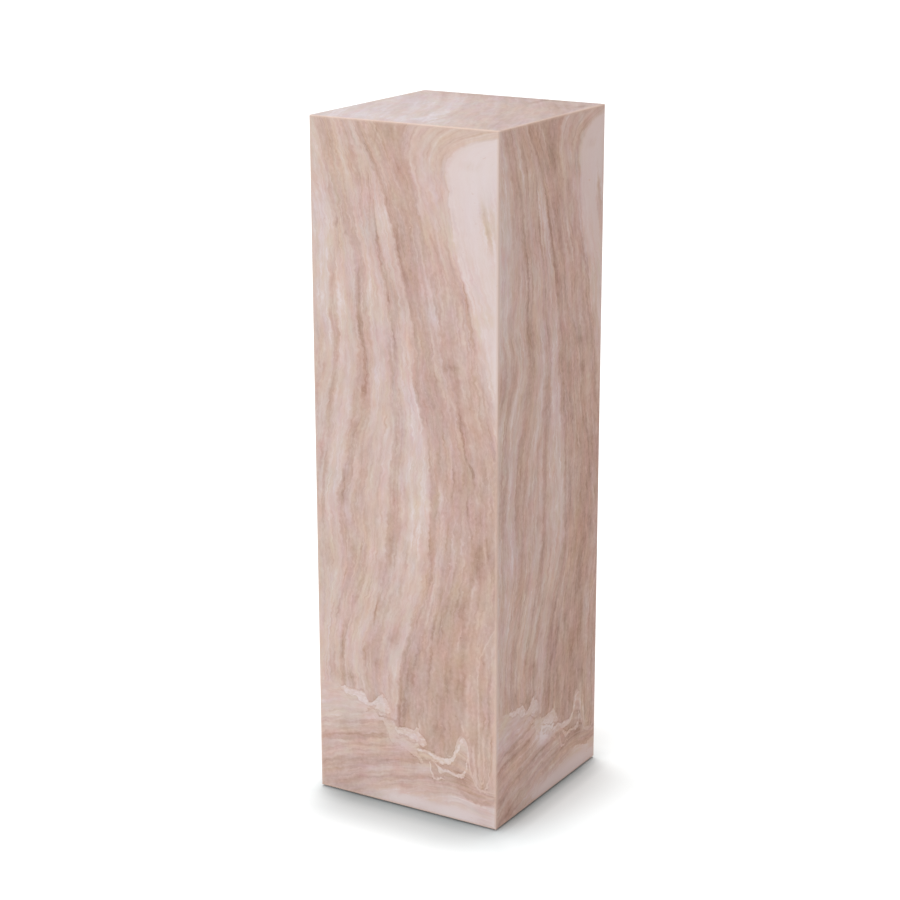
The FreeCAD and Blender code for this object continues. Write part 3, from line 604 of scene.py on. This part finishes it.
def between(points, where):
    """The height of a straight-sided line through points, at a place along it."""
    points = sorted(points)
    for (x0, y0), (x1, y1) in zip(points, points[1:]):
        if where <= x1:
            return y0 + (y1 - y0) * (where - x0) / (x1 - x0)
    return points[-1][1]


def stratum_by_hand(down, across):
    """The stratum at a place on the wall: how far across the wall it lies, halfway down."""
    here = [between(vein, down) for vein in VEINS.values()]
    halfway = [between(vein, HALFWAY) for vein in VEINS.values()]
    if across <= here[0]:
        return halfway[0] + across - here[0]
    if across >= here[-1]:
        return halfway[-1] + across - here[-1]
    return between(zip(here, halfway), across)


def line_across(r, where, points, span=HEIGHT_SPAN, reach=VEIN_REACH, handle="AUTO"):
    """A line drawn through given points as a curve node, in millimetres on both axes."""
    points = sorted(points)
    share = r.spread(where, *span)
    shares = [
        ((x - span[0]) / (span[1] - span[0]), (y - reach[0]) / (reach[1] - reach[0])) for x, y in points
    ]
    line = r.curve(share, shares, handle)
    return r.scaled(line, reach[1] - reach[0], reach[0])


def strata(r, across, down):
    lines = [line_across(r, down, vein) for vein in VEINS.values()]
    halfway = [between(vein, HALFWAY) for vein in VEINS.values()]
    outside = r.math("MINIMUM", r.minus(across, lines[0]), 0)
    beyond = r.math("MAXIMUM", r.minus(across, lines[-1]), 0)
    total = r.plus(r.plus(outside, beyond), halfway[0])
    for line, next_line, place, next_place in zip(lines, lines[1:], halfway, halfway[1:]):
        step = r.spread(across, line, next_line, 0, next_place - place)
        total = r.plus(total, step)
    return total


def tone_of_strata(r, stratum, down):
    tone = None
    last = None
    for height, tones in TONES.items():
        points = [(stratum_by_hand(height, across), pale) for across, pale in tones]
        level = line_across(r, stratum, points, VEIN_REACH, (0, 1), "AUTO_CLAMPED")
        if tone is None:
            tone = level
        else:
            tone = r.blend(r.spread(down, last, height, smooth=True), tone, level)
        last = height
    return tone


def patched(r, tone, spot, patches):
    """tone, changed around each of the patches. Each is a middle, two radii and a change."""
    flat = r.vector("MULTIPLY", spot, (1, 1, 0))
    for x, y, radius_x, radius_y, change in patches:
        offset = r.vector("SUBTRACT", flat, (x, y, 0))
        reach = (PATCH_FADE_SHARE * radius_x, PATCH_FADE_SHARE * radius_y, 1)
        far = r.vector("LENGTH", r.vector("DIVIDE", offset, reach), output=1)
        tone = r.plus(tone, r.spread(far, 0.0, 1.0, change, 0.0, smooth=True))
    return tone


def strand(r, across, down, points):
    """How far a place is on a strand, and how far on the dark outline around it."""
    middles = [(x, y) for x, y, _ in points]
    halves = [(x, half) for x, _, half in points]
    middle = line_across(r, across, middles, BREADTH_SPAN, STRAND_REACH, "AUTO_CLAMPED")
    half = line_across(r, across, halves, BREADTH_SPAN, STRAND_HALF_REACH, "AUTO_CLAMPED")
    off = r.math("ABSOLUTE", r.minus(down, middle))
    clear = r.minus(off, half)
    near = r.spread(clear, -STRAND_EDGE, STRAND_EDGE, 1.0, 0.0, smooth=True)
    from_outline = r.math("ABSOLUTE", r.minus(clear, OUTLINE_OFFSET))
    around = r.spread(from_outline, *OUTLINE_EDGE, 1.0, 0.0, smooth=True)
    first = points[0][0]
    begun = r.spread(across, first, first + STRAND_START, smooth=True)
    kept = r.times(begun, r.spread(half, 0, 1, smooth=True))
    return r.times(near, kept), r.times(around, kept)


def stroke(r, across, down, half, points):
    """1 on a stroke that runs down the wall and 0 off it. It fades out at both ends."""
    middle = line_across(r, down, points, HEIGHT_SPAN, STROKE_REACH)
    off = r.math("ABSOLUTE", r.minus(across, middle))
    near = r.spread(off, half - STROKE_EDGE, half + STROKE_EDGE, 1.0, 0.0, smooth=True)
    first, last = points[0][0], points[-1][0]
    fade = min(STROKE_FADE, (last - first) / 3)
    begun = r.spread(down, first, first + fade, smooth=True)
    going = r.spread(down, last - fade, last, 1.0, 0.0, smooth=True)
    return r.times(near, r.times(begun, going))


def uneven(r, place, stretch, detail=2.0, roughness=0.5):
    """Noise between about -1 and 1, one grain of it as large as stretch, in millimetres."""
    scaled = r.vector("DIVIDE", place, stretch)
    fac = r.noise(scaled, detail, roughness)
    return r.scaled(fac, NOISE_GAIN, -NOISE_GAIN / 2)


def noisy(r, place, name):
    """The noise that GRAINS lists under a name."""
    return uneven(r, place, *GRAINS[name])


def place_in_mm(r):
    place = r.add("ShaderNodeTexCoord").outputs["Object"]
    return r.vector("MULTIPLY", place, (MM_IN_METRE, MM_IN_METRE, MM_IN_METRE))


def coloured_stone(r, tone, flow, place, rose_patches=(), sand_patches=()):
    """The stone's colour for a tone, drifting between rose and sand along the veins."""
    calm = r.spread(tone, *HUE_CALM_SHARES, smooth=True)
    rose = r.plus(noisy(r, flow, "rose along veins"), noisy(r, place, "rose clouds"))
    rose = patched(r, r.times(rose, calm), place, rose_patches)
    elsewhere = r.vector("ADD", flow, (900, 0, 0))
    sand = r.plus(noisy(r, elsewhere, "sand along veins"), noisy(r, elsewhere, "sand clouds"))
    sand = patched(r, r.times(sand, r.times(calm, SAND_LIFE_SHARE)), place, sand_patches)
    tint = r.tinted((1, 1, 1), ROSE_SHARE, rose)
    tint = r.tinted(tint, SAND_SHARE, sand)
    return r.vector("MULTIPLY", r.ramp(tone, STONE_COLOURS), tint)


def stone_block():
    """The veins of the block as a node group. Its place is across, down and through, in millimetres."""
    group = bpy.data.node_groups.new("travertine_block", "ShaderNodeTree")
    group.interface.new_socket("Place", in_out="INPUT", socket_type="NodeSocketVector")
    group.interface.new_socket("Change", in_out="INPUT", socket_type="NodeSocketFloat")
    group.interface.new_socket("Life", in_out="INPUT", socket_type="NodeSocketFloat")
    group.interface.new_socket("Colour", in_out="OUTPUT", socket_type="NodeSocketColor")
    group.interface.new_socket("Height", in_out="OUTPUT", socket_type="NodeSocketFloat")
    r = Recipe(group)
    given = r.add("NodeGroupInput").outputs
    place = given["Place"]
    across, down, through = r.separate(place)

    drift = r.times(noisy(r, place, "drift"), DRIFT_SWAY)
    ripple = r.times(noisy(r, place, "ripple"), RIPPLE_SWAY)
    waves = r.plus(drift, ripple)
    own_drift = line_across(r, down, VEIN_DRIFT, HEIGHT_SPAN, DRIFT_REACH)
    wavy = r.plus(r.minus(across, own_drift), waves)

    stratum = strata(r, wavy, down)
    above = tone_of_strata(r, stratum, down)
    by_stratum = [
        (stratum_by_hand(y, x), y, radius_x, radius_y, change)
        for x, y, radius_x, radius_y, change in PATCHES
    ]
    above = patched(r, above, r.combine(stratum, down), by_stratum)

    arch = line_across(r, wavy, ARCH, BREADTH_SPAN, ARCH_REACH)
    lower_arch = line_across(r, wavy, LOWER_ARCH, BREADTH_SPAN, ARCH_REACH)
    low = r.plus(down, r.times(waves, LAYER_WAVE_SHARE))
    lower = r.spread(down, LOWER_ARCH_FROM, LOWER_ARCH_TO, smooth=True)
    layer = r.minus(low, r.blend(lower, arch, lower_arch))
    below = line_across(r, layer, TONES_BELOW, LAYER_SPAN, (0, 1), "AUTO_CLAMPED")
    below = patched(r, below, r.combine(across, down), PATCHES_BELOW)

    ragged = r.times(noisy(r, place, "ragged edge"), RAGGED_SWAY)
    edge = line_across(r, across, FRACTURE, BREADTH_SPAN, FRACTURE_REACH, "AUTO_CLAMPED")
    breadth = line_across(r, across, FRACTURE_BREADTH, BREADTH_SPAN, (0, 60), "AUTO_CLAMPED")
    under = r.minus(r.plus(down, ragged), edge)
    is_below = r.spread(under, -FRACTURE_EDGE, FRACTURE_EDGE)
    whiteness = r.spread(under, r.times(breadth, FULL_WHITE_SHARE), breadth, 1.0, 0.0)
    in_white = r.times(is_below, whiteness)

    flow = r.combine(r.blend(is_below, stratum, layer), r.blend(is_below, down, across), through)
    broad = noisy(r, flow, "broad")
    streaks = noisy(r, flow, "streaks")
    thin = noisy(r, flow, "thin")
    clouds = noisy(r, place, "clouds")
    mottle = noisy(r, place, "mottle")
    grain = noisy(r, place, "grain")
    bend = noisy(r, flow, "bend")
    bent = r.times(bend, SEAM_BEND)
    seam = r.math("SINE", r.scaled(r.separate(flow)[0], SEAM_PACE, bent))
    seam = r.spread(seam, SEAM_CREST, 1.0, smooth=True)
    seam = r.times(seam, r.spread(clouds, -0.6, 0.6))

    tone = r.plus(r.blend(is_below, above, below), given["Change"])
    calm = r.spread(tone, *CALM_SHARES, smooth=True)
    lively = r.times(calm, given["Life"])
    coarse = r.times(mottle, r.spread(tone, *MOTTLE_SHARES, smooth=True))
    parts = (
        (broad, 0.14),
        (thin, 0.08),
        (streaks, 0.11),
        (clouds, 0.11),
        (coarse, 0.07),
        (grain, 0.02),
        (seam, -0.10),
    )
    for part, share in parts:
        tone = r.scaled(r.times(part, lively), share, tone)
    near_across = r.scaled(ripple, STROKE_RIPPLE_SHARE, across)
    near_down = r.scaled(drift, STROKE_DRIFT_SHARE, down)
    worn = r.spread(noisy(r, flow, "wear"), *WEAR)
    drawn = 0.0
    for change, half, points in STROKES:
        drawn = r.scaled(stroke(r, near_across, near_down, half, points), change, drawn)
    white = r.scaled(noisy(r, place, "white"), WHITE_SPREAD, WHITE_TONE)
    white = r.plus(white, given["Change"])
    tone = r.blend(in_white, tone, white)
    tone = r.scaled(drawn, worn, tone)

    crumple = r.times(noisy(r, place, "crumple"), CRUMPLE_SWAY)
    shaken_across = r.plus(across, r.times(ripple, STRAND_RIPPLE_SHARE))
    shaken_down = r.plus(down, r.plus(ragged, crumple))
    patchy = r.spread(noisy(r, place, "patches in strands"), *STRAND_WEAR)
    kept, laid = 1.0, 0.0
    for pale, points in STRANDS:
        on, around = strand(r, shaken_across, shaken_down, points)
        share = r.times(on, patchy)
        rest = r.minus(1.0, share)
        kept = r.times(kept, rest)
        laid = r.scaled(share, pale, r.times(laid, rest))
        if pale > OUTLINED_FROM:
            laid = r.scaled(r.times(around, patchy), OUTLINE_TONE, laid)
    flecks = r.times(noisy(r, place, "flecks"), r.minus(1.0, kept))
    laid = r.scaled(flecks, FLECK_TONE, laid)
    tone = r.scaled(tone, kept, laid)

    speck = r.spread(noisy(r, flow, "specks"), SPECKS_FROM, SPECKS_TO, smooth=True)
    tone = r.scaled(r.times(speck, r.spread(tone, 0.65, 0.4)), SPECK_TONE, tone)
    apart = r.vector("ADD", flow, (500, 0, 0))
    pit = r.spread(noisy(r, apart, "pits"), PITS_FROM, PITS_TO, smooth=True)
    tone = r.scaled(pit, PIT_TONE, tone)

    colour = coloured_stone(r, tone, flow, place, ROSE_PATCHES, SAND_PATCHES)
    output = r.add("NodeGroupOutput")
    r.feed(output.inputs["Colour"], colour)
    relief = r.scaled(mottle, MOTTLE_RELIEF, r.times(grain, GRAIN_RELIEF))
    r.feed(output.inputs["Height"], r.scaled(pit, PIT_RELIEF, relief))
    return group


def with_worn_and_highlit_arris(r, colour, edge):
    """colour, warmer and lighter on the rounded edge: partly where the honing has worn the stone, partly a
    painted highlight of the light on the edge. edge is the distance to the nearest edge, in millimetres."""
    worn = r.spread(edge, ARRIS_BREADTH * 0.5, ARRIS_BREADTH, ARRIS_WEAR_AND_HIGHLIGHT_SHARE, 0.0)
    return r.mix(worn, colour, (*ARRIS_WEAR_AND_HIGHLIGHT_COLOUR, 1))


def from_edges(r, along, length):
    """Distance to the nearer end of a length."""
    return r.math("MINIMUM", along, r.minus(length, along))


def wall_stone(name, block, along, start, depth, drift, life, patches):
    """A wall's stone. along is the axis that its breadth runs along, start is where it begins, and
    drift is how far this slab's veins have moved on from the first one's, down the wall. life is how
    strong its fine markings are."""
    material, r = new_material(name)
    x, y, z = r.separate(r.add("ShaderNodeTexCoord").outputs["Object"])
    axes = {"x": x, "y": y}
    sign = -1 if along.startswith("-") else 1
    across = r.scaled(axes[along[-1]], sign * MM_IN_METRE, start)
    down = r.scaled(z, -MM_IN_METRE, HEIGHT_SPAN[1])
    through = r.scaled(axes["y" if along[-1] == "x" else "x"], MM_IN_METRE, depth)
    moved = r.minus(across, line_across(r, down, drift, HEIGHT_SPAN, DRIFT_REACH))
    node = r.add("ShaderNodeGroup", node_tree=block)
    r.feed(node.inputs["Place"], r.combine(moved, down, through))
    # The wall's own changes of tone, with the painted highlight along the near upright edge where the wall
    # has one
    r.feed(node.inputs["Change"], patched(r, 0.0, r.combine(across, down), patches))
    r.feed(node.inputs["Life"], life)
    edge = r.math("MINIMUM", from_edges(r, across, SLAB_BREADTH), from_edges(r, down, STONE_FOOT))
    # Painted highlight and wear along the wall's edges
    colour = with_worn_and_highlit_arris(r, node.outputs["Colour"], edge)
    finish_material(r, colour, STONE_ROUGHNESS, node.outputs["Height"], STONE_RELIEF)
    return material


# Top slab
#
# Cut across the veins. They run from the back edge to the front and lean to the right on the way.

TOP_LEAN = [(0, 0), (75, 45), (150, 80), (225, 106), (300, 135)]
TOP_LEAN_REACH = (0, 150)
TOP_SPAN = (-150, 310)
TOP_TONES = [
    (-140, 0.82), (-100, 0.84), (-70, 0.74), (-45, 0.82), (-22, 0.7), (0, 0.78), (16, 0.8),
    (28, 0.72), (34, 0.6), (42, 0.76), (52, 0.82), (60, 0.74), (72, 0.66), (80, 0.56), (95, 0.56),
    (120, 0.56), (140, 0.48), (160, 0.44), (180, 0.52), (200, 0.44), (230, 0.4), (260, 0.46),
    (300, 0.38),
]
TOP_PATCHES = [
    (176, 262, 3, 30, -0.25), (150, 230, 8, 50, 0.15), (208, 24, 5, 24, -0.35), (284, 42, 6, 16, -0.35),
    (155, 58, 10, 14, -0.15), (150, 4, 200, 12, -0.2), (60, 25, 60, 14, -0.1), (262, 70, 18, 22, -0.1),
    (255, 262, 14, 18, -0.12), (40, 245, 40, 50, 0.06), (230, 240, 30, 30, 0.05), (45, 50, 40, 40, -0.14),
    (250, 50, 36, 34, -0.08), (150, 265, 110, 30, 0.12),
]
TOP_SAND = [
    (60, 150, 44, 110, -0.65), (150, 270, 40, 30, -0.5), (240, 270, 30, 30, 0.5), (230, 120, 40, 60, 0.4),
]
# Painted shade on the top: its colour is made darker and cooler than the walls', standing in for the light
# that falls on the top
TOP_PAINTED_SHADE_TINT = (0.84, 0.868, 0.905)


def top_stone(name):
    material, r = new_material(name)
    x, y, z = r.separate(r.add("ShaderNodeTexCoord").outputs["Object"])
    across = r.scaled(x, MM_IN_METRE, SLAB_BREADTH / 2)
    forward = r.scaled(y, -MM_IN_METRE, SLAB_BREADTH / 2)
    place = r.combine(across, forward, r.times(z, MM_IN_METRE))
    drift = r.times(noisy(r, place, "top drift"), TOP_DRIFT_SWAY)
    ripple = r.times(noisy(r, place, "top ripple"), TOP_RIPPLE_SWAY)
    lean = line_across(r, forward, TOP_LEAN, BREADTH_SPAN, TOP_LEAN_REACH)
    stratum = r.plus(r.minus(across, lean), r.plus(drift, ripple))
    tone = line_across(r, stratum, TOP_TONES, TOP_SPAN, (0, 1), "AUTO_CLAMPED")
    tone = patched(r, tone, r.combine(across, forward), TOP_PATCHES)
    flow = r.combine(stratum, forward, r.times(z, MM_IN_METRE))
    parts = (
        (noisy(r, flow, "top broad"), 0.12),
        (noisy(r, flow, "top streaks"), 0.10),
        (noisy(r, place, "top clouds"), 0.08),
        (noisy(r, place, "mottle"), 0.06),
        (noisy(r, place, "grain"), 0.05),
    )
    for part, share in parts:
        tone = r.scaled(part, share, tone)
    colour = r.vector("MULTIPLY", coloured_stone(r, tone, flow, place, (), TOP_SAND), TOP_PAINTED_SHADE_TINT)
    # Painted highlight and wear along the top's edges
    edge = r.math("MINIMUM", from_edges(r, across, SLAB_BREADTH), from_edges(r, forward, SLAB_BREADTH))
    finish_material(r, with_worn_and_highlit_arris(r, colour, edge), STONE_ROUGHNESS, tone, STONE_RELIEF)
    return material


# Carcass, feet and hardware

PLYWOOD_PLIES = 11
PLYWOOD_THICKNESS = 15
GLUE_FROM, GLUE_TO = 0.05, 0.10
RING_PITCH = 2.4


def plywood(name, through, start, grain):
    """Birch plywood. through is the axis across the plies, start is where they begin, in millimetres,
    and grain is the axis that the face plies' grain follows."""
    material, r = new_material(name)
    axes = dict(zip("xyz", r.separate(r.add("ShaderNodeTexCoord").outputs["Object"])))
    mm = {axis: r.times(value, MM_IN_METRE) for axis, value in axes.items()}
    other = next(axis for axis in "xyz" if axis not in (through, grain))
    depth = r.spread(mm[through], start, start + PLYWOOD_THICKNESS, 0, PLYWOOD_PLIES)
    depth = r.math("MINIMUM", r.math("MAXIMUM", depth, 0.001), PLYWOOD_PLIES - 0.001)
    ply = r.math("FLOOR", depth)
    is_cross = r.math("MODULO", ply, 2)
    along = r.blend(is_cross, mm[grain], mm[other])
    side = r.blend(is_cross, mm[other], mm[grain])
    place = r.combine(side, along, r.times(ply, 37))

    figure = uneven(r, place, (26, 260, 1), 2.0)
    bands = r.math("SINE", r.scaled(figure, 9.0, r.times(side, 0.06)))
    fibres = uneven(r, place, (1.2, 40, 1), 3.0)
    pores = r.spread(uneven(r, place, (0.7, 7, 1), 2.0), 0.7, 1.1)
    tone = r.scaled(bands, 0.10, 0.55)
    tone = r.scaled(fibres, 0.14, tone)
    tone = r.scaled(pores, -0.20, tone)
    tone = r.scaled(uneven(r, place, (60, 90, 1)), 0.12, tone)
    tone = r.scaled(is_cross, -0.18, tone)
    wood = r.ramp(tone, [
        (0.00, srgb(158, 118, 78)),
        (0.35, srgb(199, 164, 120)),
        (0.60, srgb(219, 190, 148)),
        (1.00, srgb(234, 212, 176)),
    ])
    from_glue = r.math("ABSOLUTE", r.minus(depth, r.math("ROUND", depth)))
    under_face = r.spread(depth, 0.4, 0.5)
    over_back = r.spread(depth, PLYWOOD_PLIES - 0.4, PLYWOOD_PLIES - 0.5)
    inside = r.times(under_face, over_back)
    glue = r.times(r.spread(from_glue, GLUE_FROM, GLUE_TO, 1.0, 0.0), inside)
    colour = r.mix(glue, wood, (*srgb(104, 70, 44), 1))
    finish_material(r, colour, 0.6, tone, 0.0002)
    return material


def softwood(name, grain, pith):
    """Planed spruce. grain is the axis along the batten, and pith a place that the growth rings run round,
    in millimetres, on the other two axes."""
    material, r = new_material(name)
    axes = dict(zip("xyz", r.separate(r.add("ShaderNodeTexCoord").outputs["Object"])))
    mm = {axis: r.times(value, MM_IN_METRE) for axis, value in axes.items()}
    side, rise = [axis for axis in "xyz" if axis != grain]
    place = r.combine(mm[side], mm[rise], r.times(mm[grain], 0.04))
    wander = r.times(uneven(r, place, (14, 14, 6)), 1.6)
    away = r.combine(r.minus(mm[side], pith[0]), r.minus(mm[rise], pith[1]))
    radius = r.plus(r.vector("LENGTH", away, output=1), wander)
    ring = r.math("FRACT", r.math("DIVIDE", radius, RING_PITCH))
    late = r.times(r.spread(ring, 0.45, 0.9, smooth=True), r.spread(ring, 1.0, 0.93))
    stretch = [30 if axis == grain else 0.9 for axis in "xyz"]
    fibres = uneven(r, r.combine(mm["x"], mm["y"], mm["z"]), stretch, 3.0)
    tone = r.scaled(fibres, 0.12, r.scaled(late, -0.55, 0.85))
    colour = r.ramp(tone, [
        (0.00, srgb(168, 118, 70)),
        (0.40, srgb(205, 160, 106)),
        (0.85, srgb(230, 200, 150)),
        (1.00, srgb(238, 214, 170)),
    ])
    finish_material(r, colour, 0.62, tone, 0.0002)
    return material


def rubber(name):
    material, r = new_material(name)
    place = place_in_mm(r)
    skin = uneven(r, place, (0.6, 0.6, 0.6), 3.0)
    dust = r.spread(uneven(r, place, (4, 4, 4), 4.0), 0.1, 1.3)
    colour = r.mix(r.times(dust, 0.5), (*srgb(34, 34, 36), 1), (*srgb(92, 88, 84), 1))
    roughness = r.scaled(skin, 0.08, 0.72)
    finish_material(r, colour, roughness, skin, 0.00008)
    return material


def zinc_steel(name):
    material, r = new_material(name)
    place = place_in_mm(r)
    cloud = uneven(r, place, (3, 3, 3), 3.0)
    scratch = uneven(r, place, (0.15, 0.15, 2.5), 2.0)
    tone = r.scaled(scratch, 0.12, r.scaled(cloud, 0.14, 0.5))
    colour = r.ramp(tone, [
        (0.00, srgb(150, 152, 158)),
        (0.50, srgb(190, 192, 194)),
        (1.00, srgb(214, 212, 200)),
    ])
    roughness = r.scaled(cloud, 0.08, 0.34)
    finish_material(r, colour, roughness, scratch, 0.00004, metallic=1.0)
    return material


# Stage

FLOOR_FOR_LIGHT = (0.645, 0.555, 0.51, 1)
FLOOR_FOR_CAMERA = (1.0, 1.012, 1.01)
# Painted shadow on the floor, seen by the camera only: its level at a distance from the pedestal's foot, in
# metres, in front of the pedestal and beside it
FRONT_SHADE = [
    (0.000, 0.44), (0.010, 0.54), (0.027, 0.69), (0.041, 0.76), (0.062, 0.80), (0.089, 0.87),
    (0.123, 0.98), (0.140, 1.00),
]
RIGHT_SHADE = [
    (0.000, 0.48), (0.006, 0.58), (0.014, 0.74), (0.023, 0.80), (0.035, 0.89), (0.100, 0.90),
    (0.145, 1.00),
]
COOL_SHARE = 0.05
FLOOR_SIZE = 60
CORNER_BLEND = 0.02
# Past the pedestal's corners the painted shadow keeps only a share of its depth
CORNER_FROM, CORNER_TO = -0.03, 0.07
CORNER_SHADE_SHARE = 0.35

# A lamp's share of light, the way toward it, its breadth in degrees and its colour
ROOM_LIGHT = 0.565
LAMPS = {
    "overhead_softbox": (0.56, (-0.045, 0.055, 1), 9, (1, 1, 1)),
    "key_softbox": (0.41, (-0.30, -0.90, 0.33), 60, (0.84, 1.0, 1.08)),
}


def cooled(shades):
    """Stops of the painted floor shadow's ramp: a little less red than green and blue where the painted
    shadow is dark.
    """
    stops = []
    for gap, level in shades:
        cooler = level + COOL_SHARE * (1 - level)
        stops.append((gap, (level, cooler, cooler)))
    return stops


def make_floor():
    """A floor that is white to the camera, warm to the stone, and carries a painted shadow around the
    pedestal's foot that only the camera sees.
    """
    bpy.ops.mesh.primitive_plane_add(size=FLOOR_SIZE, location=(0, 0, 0))
    floor = bpy.context.object
    floor.name = "floor"
    material, r = new_material("white_floor")
    place = r.add("ShaderNodeTexCoord").outputs["Object"]
    flat = r.vector("MULTIPLY", place, (1, 1, 0))
    outside = r.vector("SUBTRACT", r.vector("ABSOLUTE", flat), (pedestal_width / 2, pedestal_depth / 2, 0))
    beyond = r.vector("MAXIMUM", outside, (0, 0, 0))
    gap = r.vector("LENGTH", beyond, output=1)
    beyond_x, beyond_y, _ = r.separate(beyond)
    beside = r.spread(r.minus(beyond_x, beyond_y), -CORNER_BLEND, CORNER_BLEND, smooth=True)
    # Painted shadow: the floor is darker the nearer it is to the pedestal's foot, with one ramp in front
    # and another beside it
    shade = r.mix(beside, r.ramp(gap, cooled(FRONT_SHADE)), r.ramp(gap, cooled(RIGHT_SHADE)))
    x, y, _ = r.separate(r.vector("ABSOLUTE", flat))
    from_corner = r.minus(pedestal_width / 2, r.math("MINIMUM", x, y))
    share = r.spread(from_corner, CORNER_FROM, CORNER_TO, CORNER_SHADE_SHARE, 1.0, smooth=True)
    shade = r.mix(share, (1, 1, 1, 1), shade)
    seen = r.add("ShaderNodeLightPath").outputs["Is Camera Ray"]
    colour = r.mix(seen, FLOOR_FOR_LIGHT, r.vector("MULTIPLY", shade, FLOOR_FOR_CAMERA))
    shader = r.add("ShaderNodeBsdfDiffuse", {"Color": colour})
    output = r.add("ShaderNodeOutputMaterial")
    r.feed(output.inputs["Surface"], shader.outputs[0])
    floor.data.materials.append(material)


def light_the_room(strength):
    world = bpy.data.worlds.new("studio")
    world.use_nodes = True
    world.node_tree.nodes.clear()
    r = Recipe(world.node_tree)
    seen = r.add("ShaderNodeLightPath").outputs["Is Camera Ray"]
    level = r.blend(seen, strength, 1.0)
    background = r.add("ShaderNodeBackground", {"Color": (1, 1, 1, 1), "Strength": level})
    output = r.add("ShaderNodeOutputWorld")
    r.feed(output.inputs["Surface"], background.outputs[0])
    bpy.context.scene.world = world


def add_sun(name, share, toward, softness, colour):
    """A distant lamp. share is the light that it gives a white surface that faces it, and softness its
    breadth in degrees."""
    bpy.ops.object.light_add(type="SUN")
    lamp = bpy.context.object
    lamp.name = name
    lamp.data.energy = share * math.pi
    lamp.data.color = colour
    lamp.data.angle = math.radians(softness)
    direction = Vector(toward)
    lamp.rotation_euler = direction.to_track_quat("Z", "Y").to_euler()


make_floor()
light_the_room(ROOM_LIGHT)
for name, settings in LAMPS.items():
    add_sun(name, *settings)

bpy.context.scene.view_settings.view_transform = "Standard"


# Finishes

# The axis that a wall's breadth runs along and where it begins, how deep in the block the wall lies, its
# drift, how strong its fine markings are, and its own changes of tone, among them a painted edge highlight
WALLS = {
    "front": ("x", 150, 0, NO_DRIFT, 1.1, FRONT_EDGE_HIGHLIGHT),
    "right": ("y", 150, 300, RIGHT_DRIFT, 1.45, RIGHT_PATCHES_AND_EDGE_HIGHLIGHT),
    "back": ("-x", 150, 600, BACK_DRIFT, 1.05, ()),
    "left": ("-y", 150, 900, LEFT_DRIFT, 1.05, ()),
}

# The axis across a board's plies, where they begin, and the axis of the face plies' grain
BOARDS = {
    "front_board": ("y", -140, "z"),
    "back_board": ("y", 125, "z"),
    "left_board": ("x", -140, "z"),
    "right_board": ("x", 125, "z"),
    "top_board": ("z", 975, "x"),
    "base_board": ("z", 5, "y"),
    "lower_diaphragm": ("z", 315.8, "x"),
    "upper_diaphragm": ("z", 634.2, "y"),
}

# The axis along a batten, and the place that its growth rings run round, on the other two axes
BATTENS = {
    "front_batten": ("x", (-170, 60)),
    "back_batten": ("x", (160, -10)),
    "left_batten": ("y", (-100, 64)),
    "right_batten": ("y", (150, 0)),
}

block = stone_block()
steel = zinc_steel("zinc_plated_steel")
black_rubber = rubber("black_rubber")

finishes = {}
for side, settings in WALLS.items():
    finishes[f"{side}_slab"] = wall_stone(f"travertine_{side}", block, *settings)
finishes["top_slab"] = top_stone("travertine_top")
for name, settings in BOARDS.items():
    finishes[name] = plywood("birch_plywood_" + name.split("_")[0], *settings)
for name, settings in BATTENS.items():
    finishes[name] = softwood("softwood_" + name.split("_")[0], *settings)

for name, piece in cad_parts.items():
    if "screws" in name or "washers" in name:
        finish = steel
    elif name.startswith("foot"):
        finish = black_rubber
    else:
        finish = finishes[name]
    piece.material_slots[0].material = finish
